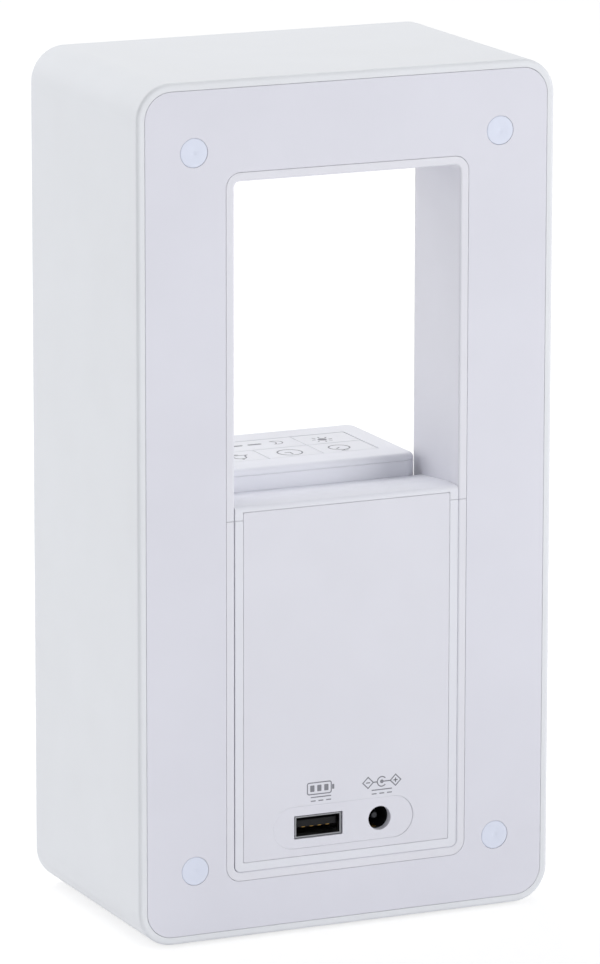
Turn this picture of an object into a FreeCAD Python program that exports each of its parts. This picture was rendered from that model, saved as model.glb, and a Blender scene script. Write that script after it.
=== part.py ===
import FreeCAD, Part
import math
import os

# Wake-up light: an upright box with a window, a light ring behind an opal funnel, and a clock and
# speaker module in the lower half of the same opening.
#
# Lengths are millimetres. X is to the right seen from the front, +Y to the back, +Z up. The origin is on
# the table, under the middle of the body. A "depth" is counted from the flat back towards the front, and
# heights are counted from the underside of the shell, which the feet lift off the table.

# Body
body_height = 225.0
body_width = 117.0
body_depth = 71.0
body_corner_r = 9.3
shell_wall = 2.1
rim_round = 1.0
ledge_width = 1.4
ledge_thick = 1.6

# Rubber feet
foot_r = 4.5
foot_proud = 0.8
foot_sunk = 0.8
foot_edge = 0.4
foot_from_side = 14.0
foot_from_face = 13.0

# Rear cover and its opening
cover_wall = 2.4
opening_width = 68.2
opening_from_bottom = 15.0
opening_from_top = 23.9
opening_corner_r = 4.0
lip_wall = 1.2
lip_height = 2.6
finger_width = 8.0
cover_rib_wall = 1.2
cover_rib_height = 1.8
cover_rib_pitch = 45.0

# Screw plugs, and the wells and bosses under them
plug_r = 3.7
plug_thick = 1.1
plug_round = 0.35
plug_from_side = 15.6
plug_from_top = 18.1
plug_from_bottom = 19.2
well_depth = 8.0
well_wall = 1.3
well_floor = 1.6
well_step = 0.5
boss_wall = 2.1
boss_rib_wall = 1.4

# Self-tapping screws: shank radius, head radius, head height
large_screw = (1.4, 2.7, 2.0)
small_screw = (1.0, 1.9, 1.4)
tiny_screw = (0.8, 1.5, 1.0)
wide_screw = (0.8, 2.4, 1.0)
body_screw_length = 9.0
joint_screw_length = 7.0
board_screw_length = 4.8
display_screw_length = 6.0
key_board_screw_length = 5.2
small_boss_wall = 1.3
tiny_boss_wall = 1.1

# Heights at which the window ends and the module begins
sill_height = 114.3
seam_below_sill = 3.6
block_above_sill = 4.5

# Liner round the opening, in an upper and a lower piece
liner_wall = 2.3
liner_depth = 27.0
liner_flange_width = 3.0
liner_flange_thick = 1.6
liner_edge_round = 0.6

# Reflector tray and light board
tray_depth = 24.0
tray_floor = 1.5
tray_wall = 1.2
tray_side_height = 24.0
light_board_width = 6.6
light_board_thick = 1.0
led_side = 3.5
led_thick = 1.4
led_pitch = 18.0

# Opal funnel
funnel_wall = 2.3
funnel_rim = 2.3
funnel_recess = 0.6
funnel_collar = 4.0
funnel_bulge = 3.0
funnel_front_r = 5.0
funnel_steps = 5

# Module: rear housing, sill and rear panel
frame_wall = 2.3
frame_depth = 22.0
frame_flange = 6.0
frame_flange_thick = 2.0
panel_wall = 2.2
panel_ledge = 1.6
panel_ledge_thick = 1.6
sill_rim = 1.5
sill_floor = 1.9
sill_round = 1.0
sill_flat = 7.0
sill_fall = 1.4
hook_width = 6.0
hook_wall = 1.0
hook_barb = 0.8
hook_shares = (0.3, 0.75)

# Module: front housing (the block) and its top cap
block_gap = 1.4
block_front = 62.5
block_corner_r = 3.2
block_wall = 2.2
block_round = 1.0
cap_height = 1.8
cap_round = 1.4
cap_lip_wall = 1.2
cap_lip_height = 2.6
standoff_r = 2.5
standoff_height = 4.0
joint_screw_from_side = 3.2
joint_screw_from_bottom = 20.0
joint_screw_from_seam = 18.7
joint_boss_height = 9.0
side_screw_depth = 12.0
hatch_side_margin = 10.4
hatch_end_margin = 11.3

# Sockets in the rear panel, and the shallow recess round them
port_height = 27.5
usb_x = 7.9
usb_opening = (13.8, 6.2)
usb_shell = (13.1, 5.7)
usb_shell_wall = 0.35
usb_mouth = 0.5
usb_tongue = (11.1, 1.8)
usb_tongue_rise = 0.6
usb_tongue_setback = 1.1
usb_root_length = 4.0
usb_contact_pitch = 2.3
usb_contact_width = 1.0
usb_contact_thick = 0.3
dc_x = -9.6
dc_hole_r = 3.2
dc_body = (9.2, 9.2)
dc_body_floor = 1.0
dc_bore_depth = 9.6
dc_pin_r = 1.0
dc_pin_setback = 1.0
dc_spring = (2.0, 0.6, 8.1)
dc_spring_stands_in = 0.1
recess_x = 0.8
recess_half = 20.0
recess_r = 5.6
recess_deep = 0.15

# Main board, with its gaps to the frame's inside and to the sill
board_thick = 1.6
board_side_gap = 5.6
board_bottom_gap = 2.5
board_top_gap = 8.3
standoff_from_side = 3.5
standoff_from_bottom = 8.5
standoff_from_top = 3.0
battery_r = 10.0
battery_thick = 3.2
battery_x = 8.0
battery_from_top = 18.5
battery_rim = 1.2
battery_floor = 0.8

# Round parts on the rear of the main board, by their place from its middle: x, z, radius, height
capacitors = ((12.0, -1.5, 4.0, 9.0), (3.0, -3.5, 3.2, 7.0), (-5.0, -3.5, 3.2, 7.0))
# Square parts there: x, z, width, length, height
coil = (-15.0, -18.5, 10.0, 10.0, 5.0)
chips = (
    (-12.0, 20.5, 10.0, 10.0, 1.2),
    (-14.0, 2.5, 5.0, 6.0, 1.5),
    (8.0, -19.5, 6.5, 6.0, 2.2),
    (17.0, -19.5, 4.0, 5.0, 1.5),
)

# Keys, their board and switches
key_gap = 0.2
cap_side_border = 6.7
cap_rear_border = 9.0
cap_front_border = 8.8
cap_boss_from_side = 5.8
cap_boss_from_face = 5.2
key_lip = 1.0
key_lip_thick = 0.8
key_round = 0.3
key_stem_r = 1.7
key_travel = 0.5
key_board_drop = 9.0
key_board_thick = 1.2
key_board_gap = 1.0
switch_side = 6.0
switch_height = 3.5
switch_pocket = 1.2
plunger_height = 1.8

# Display in the block's front wall
display_from_top = 26.3
lens_size = (45.0, 18.0)
lens_thick = 1.3
face_corner_r = 2.5
display_frame = 2.0
display_side_gap = 1.4
display_high = 19.0
display_thick = 8.0
display_board_gap = 0.9
display_board_high = 25.0
display_board_drop = 2.0
display_screw_inset = (3.5, 2.4)
display_boss_r = 2.2

# Speaker behind the grille
grille_width = 40.0
grille_share = 0.7
grille_thick = 1.2
slot_length = 34.0
slot_width = 1.6
slot_pitch = 3.4
sound_hole_r = 17.5
speaker_r = 20.0
gasket_thick = 1.1
surround_land = 0.4
surround_outer_r = 16.9
surround_inner_r = 14.3
surround_roll = 1.3
surround_lap = 1.2
surround_steps = 6
basket_wall = 1.0
basket_depth = 12.0
basket_neck_r = 11.0
basket_foot = 1.6
basket_rim = 2.0
cone_wall = 0.4
cone_depth = 6.5
cone_travel = 0.8
coil_r = 5.5
coil_wall = 0.45
magnet_r = 12.5
magnet_bore_gap = 1.6
magnet_thick = 6.0
plate_thick = 1.5
yoke_thick = 2.0
plate_inset = 1.0
dust_cap_lap = 1.4
dust_cap_rise = 1.6
spider_rise = 1.6
spider_waves = 4
spider_wave = 0.4
spider_foot = 0.9

# Flat leads, their connectors and the speaker's leads
ribbon_thick = 0.3
ribbon_width = 8.0
ribbon_bend_r = 2.0
ribbon_behind_board = 1.4
connector_height = 2.2
connector_length = 2.4
connector_margin = 1.0
light_connector_x = 21.0
light_ribbon_inset = 2.2
light_ribbon_bend_r = 0.9
key_ribbon_x = -14.0
key_ribbon_drop = 1.2
key_ribbon_bend_r = 1.2
display_ribbon_x = 8.0
display_ribbon_fall = 8.0
lead_r = 0.6
lead_pitch = 2.4
lead_x = -3.0
lead_bend_r = 4.0
lead_bend_shares = (0.6, 0.25)
strip_rise = 1.6
strip_wide = 8.4
strip_thick = 2.7
strip_length = 5.0

# Clearances
seam_gap = 0.08
slip = 0.1
loose = 0.3
press = 0.05
least_r = 0.3

# How far a fused piece reaches into its neighbour, and how far a cut runs past a face
bite = 0.5
past = 1.0


def inset(outline, by):
    """The same rounded rectangle, drawn in by the same amount on every side."""
    half, low, high, r = outline
    return half - by, low + by, high - by, max(r - by, least_r)


def upright(half, middle, high, r):
    """A rounded rectangle given by its half width, its middle's height and its own height."""
    return half, middle - high / 2.0, middle + high / 2.0, r


# Outlines and places that follow from the sizes above
back = body_depth / 2.0
seam_height = sill_height - seam_below_sill
block_top = sill_height + block_above_sill

shell_outline = (body_width / 2.0, 0.0, body_height, body_corner_r)
shell_inside = inset(shell_outline, shell_wall)
past_ledge = inset(shell_inside, ledge_width + loose)
opening = (opening_width / 2.0, opening_from_bottom, body_height - opening_from_top, opening_corner_r)
liner_outside = inset(opening, seam_gap)
liner_inside = inset(liner_outside, liner_wall)
light_board_outside = inset(past_ledge, tray_wall + loose)
light_board_inside = inset(light_board_outside, light_board_width)
frame_outside = inset(liner_inside, seam_gap)
frame_inside = inset(frame_outside, frame_wall)

boss_r = large_screw[0] + slip + boss_wall
plug_x = body_width / 2.0 - plug_from_side
plug_points = [(side * plug_x, z) for side in (-1, 1)
               for z in (plug_from_bottom, body_height - plug_from_top)]
foot_x = body_width / 2.0 - foot_from_side
foot_points = [(side * foot_x, depth) for side in (-1, 1)
               for depth in (foot_from_face, body_depth - foot_from_face)]

sill_underside = sill_height - sill_rim
panel_half = frame_inside[0] - seam_gap
panel_low = frame_inside[1] + seam_gap
panel_high = sill_underside - seam_gap
hook_x = frame_inside[0] - panel_ledge - loose
hook_heights = [panel_low + share * (panel_high - panel_low) for share in hook_shares]

joint_screw_heights = (frame_inside[1] + joint_screw_from_bottom, seam_height - joint_screw_from_seam)
third = (joint_screw_heights[1] - joint_screw_heights[0]) / 3.0
finger_heights = (joint_screw_heights[1] - third, (seam_height + opening[2]) / 2.0)
joint_x = frame_inside[0] - joint_screw_from_side
joint_points = [(side * joint_x, z) for side in (-1, 1) for z in joint_screw_heights]

board_front = frame_depth - standoff_height
board_rear = board_front - board_thick
board_half = frame_inside[0] - board_side_gap
board_bottom = frame_inside[1] + board_bottom_gap
board_top = sill_underside - board_top_gap
board_middle = (board_bottom + board_top) / 2.0
standoff_x = board_half - standoff_from_side
standoff_heights = (board_bottom + standoff_from_bottom, board_top - standoff_from_top)
standoff_points = [(side * standoff_x, z) for side in (-1, 1) for z in standoff_heights]
battery_height = board_top - battery_from_top

block_half = liner_inside[0] - block_gap
block_bottom = liner_inside[1] + block_gap
block_rear = frame_depth
block_inside = block_half - block_wall
cap_seam = block_top - cap_height
inner_front = block_front - block_wall

field_half = block_half - cap_side_border
field_rear = block_rear + cap_rear_border
field_front = block_front - cap_front_border
key_width = (2 * field_half - 4 * key_gap) / 3.0
key_length = (field_front - field_rear - 3 * key_gap) / 2.0
key_board_top = cap_seam - key_board_drop
stem_bottom = key_board_top + switch_height - switch_pocket + key_travel + slip + plunger_height
cap_boss_points = [(side * (block_half - cap_boss_from_side), depth) for side in (-1, 1)
                   for depth in (block_rear + cap_boss_from_face, block_front - cap_boss_from_face)]

display_height = block_top - display_from_top
display_half = block_inside - display_side_gap
display_rear = inner_front - slip - display_thick
display_board_half = block_inside - display_board_gap
display_board_middle = display_height - display_board_drop
display_boss_height = display_board_middle - display_board_high / 2.0 + display_screw_inset[1]
display_boss_x = display_board_half - display_screw_inset[0]
display_points = [(-display_boss_x, display_boss_height), (display_boss_x, display_boss_height)]

room_top = display_height - lens_size[1] / 2.0
grille_high = grille_share * (room_top - block_bottom)
speaker_height = (block_bottom + room_top) / 2.0
flange_front = inner_front - gasket_thick - surround_land
flange_rear = flange_front - basket_wall
neck_front = flange_front - basket_depth
neck_rear = neck_front - basket_wall
plate_rear = neck_rear - plate_thick
magnet_rear = plate_rear - magnet_thick
coil_outer_r = coil_r + coil_wall
cone_back = flange_front - cone_depth
speaker_screw_reach = (speaker_r + tiny_screw[0] + tiny_boss_wall + slip) * math.sqrt(0.5)
speaker_points = [(sx * speaker_screw_reach, speaker_height + sz * speaker_screw_reach)
                  for sx in (-1, 1) for sz in (-1, 1)]

ribbon_height = joint_screw_heights[0] + third
ribbon_depth = board_rear - ribbon_behind_board
light_board_front = tray_depth + tray_floor + light_board_thick
light_ribbon_x = light_board_inside[0] - light_ribbon_inset
light_ribbon_end = light_board_inside[0] + connector_margin
key_ribbon_level = key_board_top - key_board_thick - key_ribbon_drop
key_ribbon_start = block_rear + block_wall + key_board_gap + cap_boss_from_face
key_ribbon_end = board_top - 2 * connector_length
display_ribbon_high = display_board_middle - display_board_high / 4.0
display_ribbon_low = display_ribbon_high - display_ribbon_fall
strip_low = speaker_height + basket_neck_r + basket_wall + strip_rise
strip_x0 = lead_x + (lead_pitch - strip_wide) / 2.0


def at(x, depth, z):
    """A point given by its depth from the back."""
    return FreeCAD.Vector(x, back - depth, z)


def rounded_wire(u0, u1, v0, v1, r, place):
    """A rounded rectangle from four sides and four quarter arcs; place(u, v) gives each point."""
    k = r * (1.0 - math.sqrt(0.5))
    corners = [(u1, v0, -1, 1), (u1, v1, -1, -1), (u0, v1, 1, -1), (u0, v0, 1, 1)]
    edges = []
    last = place(u0 + r, v0)
    for index, (u, v, du, dv) in enumerate(corners):
        along_u = index % 2 == 0
        first = place(u + du * r, v) if along_u else place(u, v + dv * r)
        final = place(u, v + dv * r) if along_u else place(u + du * r, v)
        middle = place(u + du * k, v + dv * k)
        edges.append(Part.makeLine(last, first))
        edges.append(Part.Arc(first, middle, final).toShape())
        last = final
    return Part.Wire(edges)


def outline_wire(outline, depth):
    half, low, high, r = outline
    return rounded_wire(-half, half, low, high, r, lambda u, v: at(u, depth, v))


def slab(outline, depth0, depth1):
    """An upright rounded rectangle, carried from one depth to another."""
    face = Part.Face(outline_wire(outline, depth0))
    return face.extrude(FreeCAD.Vector(0, depth0 - depth1, 0))


def ring(outside, inside, depth0, depth1):
    """The frame between two upright outlines."""
    return slab(outside, depth0, depth1).cut(slab(inside, depth0 - past, depth1 + past))


def plan_slab(half, depth0, depth1, r, z0, z1):
    """A rounded rectangle seen from above, carried from one height to another."""
    wire = rounded_wire(-half, half, depth0, depth1, r, lambda u, v: at(u, v, z0))
    return Part.Face(wire).extrude(FreeCAD.Vector(0, 0, z1 - z0))


def box(x0, x1, depth0, depth1, z0, z1):
    """A block between two places on each axis, in either order across."""
    corner = at(min(x0, x1), depth1, z0)
    return Part.makeBox(abs(x1 - x0), depth1 - depth0, z1 - z0, corner)


def rod(x, z, r, depth0, depth1):
    """A cylinder whose axis runs from back to front."""
    return Part.makeCylinder(r, depth1 - depth0, at(x, depth1, z), FreeCAD.Vector(0, 1, 0))


def upright_rod(x, depth, r, z0, z1):
    return Part.makeCylinder(r, z1 - z0, at(x, depth, z0), FreeCAD.Vector(0, 0, 1))


def cross_rod(depth, z, r, x0, x1):
    return Part.makeCylinder(r, abs(x1 - x0), at(min(x0, x1), depth, z), FreeCAD.Vector(1, 0, 0))


def turned(profile, x, z):
    """A closed profile of (radius, depth) points, turned about a line from back to front."""
    points = [at(x + radius, depth, z) for radius, depth in profile]
    face = Part.Face(Part.makePolygon(points + points[:1]))
    return face.revolve(at(x, 0, z), FreeCAD.Vector(0, 1, 0), 360)


def joined(shapes):
    whole = shapes[0].multiFuse(shapes[1:])
    return whole.removeSplitter()


def without(shape, tools):
    for tool in tools:
        shape = shape.cut(tool)
    return shape


def obround(x, z, half, r, depth0, depth1):
    """A bar with round ends, carried from one depth to another."""
    middle = box(x - half + r, x + half - r, depth0, depth1, z - r, z + r)
    ends = [rod(x + side * (half - r), z, r, depth0, depth1) for side in (-1, 1)]
    return joined([middle] + ends)


def edges_at_depth(shape, depth):
    """The edges that lie wholly at one depth."""
    y = back - depth
    return [edge for edge in shape.Edges
            if abs(edge.BoundBox.YMin - y) < 0.01 and abs(edge.BoundBox.YMax - y) < 0.01]


def edges_at_height(shape, z):
    return [edge for edge in shape.Edges
            if abs(edge.BoundBox.ZMin - z) < 0.01 and abs(edge.BoundBox.ZMax - z) < 0.01]


def part_above(shape, z):
    return shape.common(box(-body_width, body_width, -past, body_depth + past, z, body_height + past))


def part_below(shape, z):
    return shape.common(box(-body_width, body_width, -past, body_depth + past, -past, z))


def screw_in(x, z, depth, screw, length):
    """A screw driven from the back: its head stands behind the given depth."""
    shank_r, head_r, head = screw
    return joined([rod(x, z, head_r, depth - head, depth),
                   rod(x, z, shank_r, depth - slip, depth + length)])


def screw_out(x, z, depth, screw, length):
    """A screw driven from the front: its head stands in front of the given depth."""
    shank_r, head_r, head = screw
    return joined([rod(x, z, head_r, depth, depth + head),
                   rod(x, z, shank_r, depth - length, depth + slip)])


def screw_up(x, depth, z, screw, length):
    """A screw driven from below: its head hangs under the given height."""
    shank_r, head_r, head = screw
    return joined([upright_rod(x, depth, head_r, z - head, z),
                   upright_rod(x, depth, shank_r, z - slip, z + length)])


def screw_hole(x, z, screw, depth0, depth1):
    return rod(x, z, screw[0] + slip, depth0, depth1)


def save(name, shapes):
    """Writes one node, lifted onto the feet, as one solid or as a group of separate solids."""
    shapes = shapes if isinstance(shapes, list) else [shapes]
    solids = [solid for shape in shapes for solid in shape.Solids]
    node = solids[0] if len(solids) == 1 else Part.makeCompound(solids)
    node = node.translated(FreeCAD.Vector(0, 0, foot_proud))
    if not node.isValid():
        print("not valid:", name)
    node.exportStep("parts/" + name + ".step")
    print(f"{name}: {len(solids)} solids, {node.Volume / 1000.0:.2f} cm3")


# Body

def boss_with_ribs(x, z):
    """A screw boss, tied to the nearest side wall and to the nearest top or bottom wall."""
    wall_x = math.copysign(shell_inside[0] + shell_wall / 2.0, x)
    wall_z = shell_wall / 2.0 if z < body_height / 2.0 else body_height - shell_wall / 2.0
    half = boss_rib_wall / 2.0
    boss = rod(x, z, boss_r, well_depth, tray_depth)
    level_rib = box(x, wall_x, well_depth, tray_depth, z - half, z + half)
    standing_rib = box(x - half, x + half, well_depth, tray_depth, min(z, wall_z), max(z, wall_z))
    return [boss, level_rib, standing_rib]


def make_outer_shell():
    """A tube with rounded rims, a ledge near each end, four screw bosses and sockets for the feet."""
    block = slab(shell_outline, 0, body_depth)
    block = block.makeFillet(rim_round, edges_at_depth(block, 0) + edges_at_depth(block, body_depth))
    tube = block.cut(slab(shell_inside, -past, body_depth + past))
    into_wall = inset(shell_inside, -shell_wall / 2.0)
    ledge_inside = inset(shell_inside, ledge_width)
    collar_back = body_depth - funnel_recess - funnel_collar
    pieces = [tube]
    pieces.append(ring(into_wall, ledge_inside, cover_wall, cover_wall + ledge_thick))
    pieces.append(ring(into_wall, ledge_inside, collar_back - ledge_thick, collar_back))
    for x, z in plug_points:
        pieces.extend(boss_with_ribs(x, z))
    shell = joined(pieces)
    holes = [screw_hole(x, z, large_screw, well_depth - past, tray_depth + past) for x, z in plug_points]
    holes += [upright_rod(x, depth, foot_r + slip, -past, foot_sunk) for x, depth in foot_points]
    return without(shell, holes)


def make_feet():
    feet = []
    for x, depth in foot_points:
        foot = upright_rod(x, depth, foot_r, -foot_proud, foot_sunk)
        feet.append(foot.makeChamfer(foot_edge, edges_at_height(foot, -foot_proud)))
    return feet


def cover_fingers():
    """Fingers on the cover's lip, which hold the liner's flange against the tray."""
    half, low, high, _ = opening
    start = cover_wall + lip_height - bite
    end = tray_depth - liner_flange_thick - loose
    reach = finger_width / 2.0
    fingers = [box(side * half, side * (half + lip_wall), start, end, z - reach, z + reach)
               for z in finger_heights for side in (-1, 1)]
    fingers.append(box(-reach, reach, start, end, high, high + lip_wall))
    fingers.append(box(-reach, reach, start, end, low - lip_wall, low))
    return fingers


def cover_ribs():
    """Short ribs from the lip towards the shell, evenly spaced up both sides."""
    half, low, high, _ = opening
    start = half + lip_wall / 2.0
    end = shell_inside[0] - ledge_width - loose
    tip = cover_wall + cover_rib_height
    count = int((high - low) / cover_rib_pitch)
    first = (low + high - (count - 1) * cover_rib_pitch - cover_rib_wall) / 2.0
    heights = [first + index * cover_rib_pitch for index in range(count)]
    return [box(side * start, side * end, cover_wall - bite, tip, z, z + cover_rib_wall)
            for z in heights for side in (-1, 1)]


def make_rear_cover():
    """A flat cover with a lip round the opening, ribs, fingers and a sunk well for each screw."""
    pieces = [ring(inset(shell_inside, seam_gap), opening, 0, cover_wall)]
    pieces.append(ring(inset(opening, -lip_wall), opening, cover_wall - bite, cover_wall + lip_height))
    pieces += cover_ribs() + cover_fingers()
    for x, z in plug_points:
        pieces.append(rod(x, z, plug_r + slip + well_wall, 0, well_depth))
    holes = []
    for x, z in plug_points:
        holes.append(rod(x, z, plug_r + slip, -past, plug_thick))
        holes.append(rod(x, z, plug_r + slip - well_step, 0, well_depth - well_floor))
        holes.append(screw_hole(x, z, large_screw, 0, well_depth + past))
    return without(joined(pieces), holes)


def make_plugs():
    plugs = []
    for x, z in plug_points:
        plug = rod(x, z, plug_r, 0, plug_thick)
        plugs.append(plug.makeFillet(plug_round, edges_at_depth(plug, 0)))
    return plugs


def make_body_screws():
    """Two screws in each boss: from the back through the cover, and from the front through the tray."""
    screws = []
    for x, z in plug_points:
        screws.append(screw_in(x, z, well_depth - well_floor, large_screw, body_screw_length))
        screws.append(screw_out(x, z, tray_depth + tray_floor, large_screw, body_screw_length))
    return screws


def liner_sleeve():
    """The whole sleeve round the opening, with a flange that lies against the tray."""
    sleeve = ring(liner_outside, liner_inside, 0, liner_depth)
    inner_edges = [edge for edge in edges_at_depth(sleeve, 0)
                   if abs(edge.BoundBox.Center.x) < liner_inside[0] + 0.01
                   and liner_inside[1] - 0.01 < edge.BoundBox.Center.z < liner_inside[2] + 0.01]
    sleeve = sleeve.makeFillet(liner_edge_round, inner_edges)
    mid_wall = inset(liner_outside, liner_wall / 2.0)
    flange_outside = inset(liner_outside, -liner_flange_width)
    flange = ring(flange_outside, mid_wall, tray_depth - liner_flange_thick, tray_depth)
    return joined([sleeve, flange])


def ribbon_slot():
    """Where the light ribbon passes the side walls of the module and of the liner."""
    half = ribbon_width / 2.0 + loose
    return box(frame_inside[0] - bite, liner_outside[0] + past, ribbon_depth - 2 * loose,
               ribbon_depth + ribbon_thick + 2 * loose, ribbon_height - half, ribbon_height + half)


def side_screw_holes():
    return [cross_rod(side_screw_depth, z, small_screw[0] + slip, -body_width, body_width)
            for z in joint_screw_heights]


def make_window_liner():
    return part_above(liner_sleeve(), seam_height + seam_gap / 2.0)


def make_lower_liner():
    liner = part_below(liner_sleeve(), seam_height - seam_gap / 2.0)
    return without(liner, side_screw_holes() + [ribbon_slot()])


def make_tray():
    """The white tray behind the light: a floor round the liner and a low wall all round."""
    floor = ring(past_ledge, inset(liner_outside, -slip), tray_depth, tray_depth + tray_floor)
    wall = ring(past_ledge, inset(past_ledge, tray_wall), tray_depth, tray_depth + tray_side_height)
    start = tray_depth - past
    end = tray_depth + tray_floor + past
    half = ribbon_width / 2.0 + loose
    holes = [screw_hole(x, z, large_screw, start, end) for x, z in plug_points]
    holes.append(box(light_ribbon_x - 2 * loose, light_ribbon_x + ribbon_thick + 2 * loose, start, end,
                     ribbon_height - half, ribbon_height + half))
    return without(joined([floor, wall]), holes)


def make_light_board():
    return ring(light_board_outside, light_board_inside, tray_depth + tray_floor, light_board_front)


def spaced(first, last, pitch):
    """Even places from first to last, no further apart than the pitch."""
    count = max(1, math.ceil((last - first) / pitch))
    return [first + (last - first) * index / count for index in range(count + 1)]


def make_leds():
    """Light-emitting diodes along the board's four sides, clear of the ribbon's connector."""
    half, low, high, _ = inset(light_board_outside, light_board_width / 2.0)
    places = [(side * half, z) for z in spaced(low, high, led_pitch) for side in (-1, 1)]
    places += [(x, z) for x in spaced(-half, half, led_pitch)[1:-1] for z in (low, high)]
    keep_clear = ribbon_width / 2.0 + connector_margin + led_side
    reach = led_side / 2.0
    front = light_board_front + led_thick
    return [box(x - reach, x + reach, light_board_front, front, z - reach, z + reach)
            for x, z in places if x < half - bite or abs(z - ribbon_height) > keep_clear]


def funnel_ring(share, small, large, depth0, depth1):
    """One outline of the funnel. The straight line from window to rim is bowed by a parabola."""
    run = large[0] - small[0]
    rise = depth1 - depth0
    length = math.hypot(run, rise)
    bow = funnel_bulge * 4.0 * share * (1.0 - share)
    outward = bow * rise / length
    half = small[0] + run * share + outward
    low = small[1] + (large[1] - small[1]) * share - outward
    high = small[2] + (large[2] - small[2]) * share + outward
    r = small[3] + (large[3] - small[3]) * share + outward / 2.0
    return (half, low, high, r), depth0 + rise * share - bow * run / length


def funnel_solid(small, large, depth0, depth1):
    wires = []
    for step in range(funnel_steps + 1):
        outline, depth = funnel_ring(step / funnel_steps, small, large, depth0, depth1)
        wires.append(outline_wire(outline, depth))
    return Part.makeLoft(wires, True, True)


def make_front_diffuser():
    """The opal funnel from the window to the front rim, with a collar that seats on the shell's ledge."""
    front = body_depth - funnel_recess
    collar_back = front - funnel_collar
    start = liner_depth + slip
    rim = inset(shell_inside, seam_gap)
    skirt = past_ledge[:3] + (funnel_front_r,)
    mouth = inset(rim, funnel_rim)[:3] + (funnel_front_r,)
    outer = funnel_solid(inset(liner_inside, -funnel_wall), skirt, start, collar_back)
    body = joined([outer, slab(rim, collar_back, front)])
    return body.cut(funnel_solid(liner_inside, mouth, start, front))


# Module

def make_rear_housing():
    """The thin frame round the rear panel: walls, a ledge for the panel and a flange against the block."""
    mid_wall = inset(frame_inside, -frame_wall / 2.0)
    ledge_front = panel_wall + panel_ledge_thick
    flange_back = frame_depth - frame_flange_thick
    pieces = [ring(frame_outside, frame_inside, 0, frame_depth)]
    pieces.append(ring(mid_wall, inset(frame_inside, panel_ledge), panel_wall, ledge_front))
    pieces.append(ring(mid_wall, inset(frame_inside, frame_flange), flange_back, frame_depth))
    boss = small_screw[0] + small_boss_wall
    pieces += [cross_rod(side_screw_depth, z, boss, side * mid_wall[0], side * (frame_inside[0] - boss))
               for z in joint_screw_heights for side in (-1, 1)]
    frame = part_below(joined(pieces), seam_height - seam_gap / 2.0)
    holes = [screw_hole(x, z, small_screw, flange_back - past, frame_depth + past) for x, z in joint_points]
    return without(frame, holes + side_screw_holes() + [ribbon_slot()])


def make_sill():
    """A shelf with a softly crowned top, on two short legs that stand on the rear housing."""
    front = frame_depth - slip
    turn = sill_round * (1.0 - math.sqrt(0.5))
    low_front = sill_height - sill_fall
    x0 = -frame_outside[0]
    corner_low = at(x0, 0, sill_height - sill_round)
    corner_high = at(x0, sill_round, sill_height)
    bend = Part.Arc(corner_low, at(x0, turn, sill_height - turn), corner_high)
    outline = [
        corner_high,
        at(x0, sill_flat, sill_height),
        at(x0, front, low_front),
        at(x0, front, low_front - sill_floor),
        at(x0, panel_wall, low_front - sill_floor),
        at(x0, panel_wall, sill_underside),
        at(x0, 0, sill_underside),
        corner_low,
    ]
    edges = [bend.toShape()] + [Part.makeLine(a, b) for a, b in zip(outline, outline[1:])]
    shelf = Part.Face(Part.Wire(edges)).extrude(FreeCAD.Vector(2 * frame_outside[0], 0, 0))
    foot = seam_height + seam_gap / 2.0
    top = min(low_front, sill_underside + bite)
    legs = [box(side * frame_inside[0], side * frame_outside[0], 0, front, foot, top) for side in (-1, 1)]
    return joined([shelf] + legs)


def panel_hooks():
    """Four hooks, each a tongue behind the panel with a barb that grips the frame's ledge."""
    start = panel_wall + panel_ledge_thick + slip
    end = start + hook_barb
    half = hook_width / 2.0
    hooks = []
    for z in hook_heights:
        for side in (-1, 1):
            inner = side * (hook_x - hook_wall)
            hooks.append(box(inner, side * hook_x, panel_wall - bite, end, z - half, z + half))
            hooks.append(box(inner, side * (hook_x + hook_barb), start, end, z - half, z + half))
    return hooks


def make_rear_panel():
    """The framed panel with the sockets' openings in a shallow recess."""
    panel = joined([slab((panel_half, panel_low, panel_high, least_r), 0, panel_wall)] + panel_hooks())
    half_wide = usb_opening[0] / 2.0
    half_high = usb_opening[1] / 2.0
    holes = [
        obround(recess_x, port_height, recess_half, recess_r, -past, recess_deep),
        box(usb_x - half_wide, usb_x + half_wide, -past, panel_wall + past, port_height - half_high,
            port_height + half_high),
        rod(dc_x, port_height, dc_hole_r, -past, panel_wall + past),
    ]
    return without(panel, holes)


def make_side_screws():
    """The screws that hold the module in the liner, driven from inside the body."""
    shank_r, head_r, head = small_screw
    seat = liner_outside[0]
    tip = frame_inside[0] - shank_r - small_boss_wall
    return [joined([cross_rod(side_screw_depth, z, head_r, side * seat, side * (seat + head)),
                    cross_rod(side_screw_depth, z, shank_r, side * tip, side * (seat + slip))])
            for z in joint_screw_heights for side in (-1, 1)]


def housing_bosses():
    """Bosses for the joint screws, standoffs for the main board, and bosses for display and speaker."""
    mid_rear = block_rear + block_wall / 2.0
    into_front = inner_front + bite
    small_boss = small_screw[0] + small_boss_wall
    tiny_boss = tiny_screw[0] + tiny_boss_wall
    bosses = [rod(x, z, small_boss, mid_rear, block_rear + joint_boss_height) for x, z in joint_points]
    bosses += [rod(x, z, standoff_r, board_front, mid_rear) for x, z in standoff_points]
    bosses += [rod(x, z, tiny_boss, flange_rear, into_front) for x, z in speaker_points]
    bosses += [rod(x, z, display_boss_r, display_rear, into_front) for x, z in display_points]
    return bosses


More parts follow.
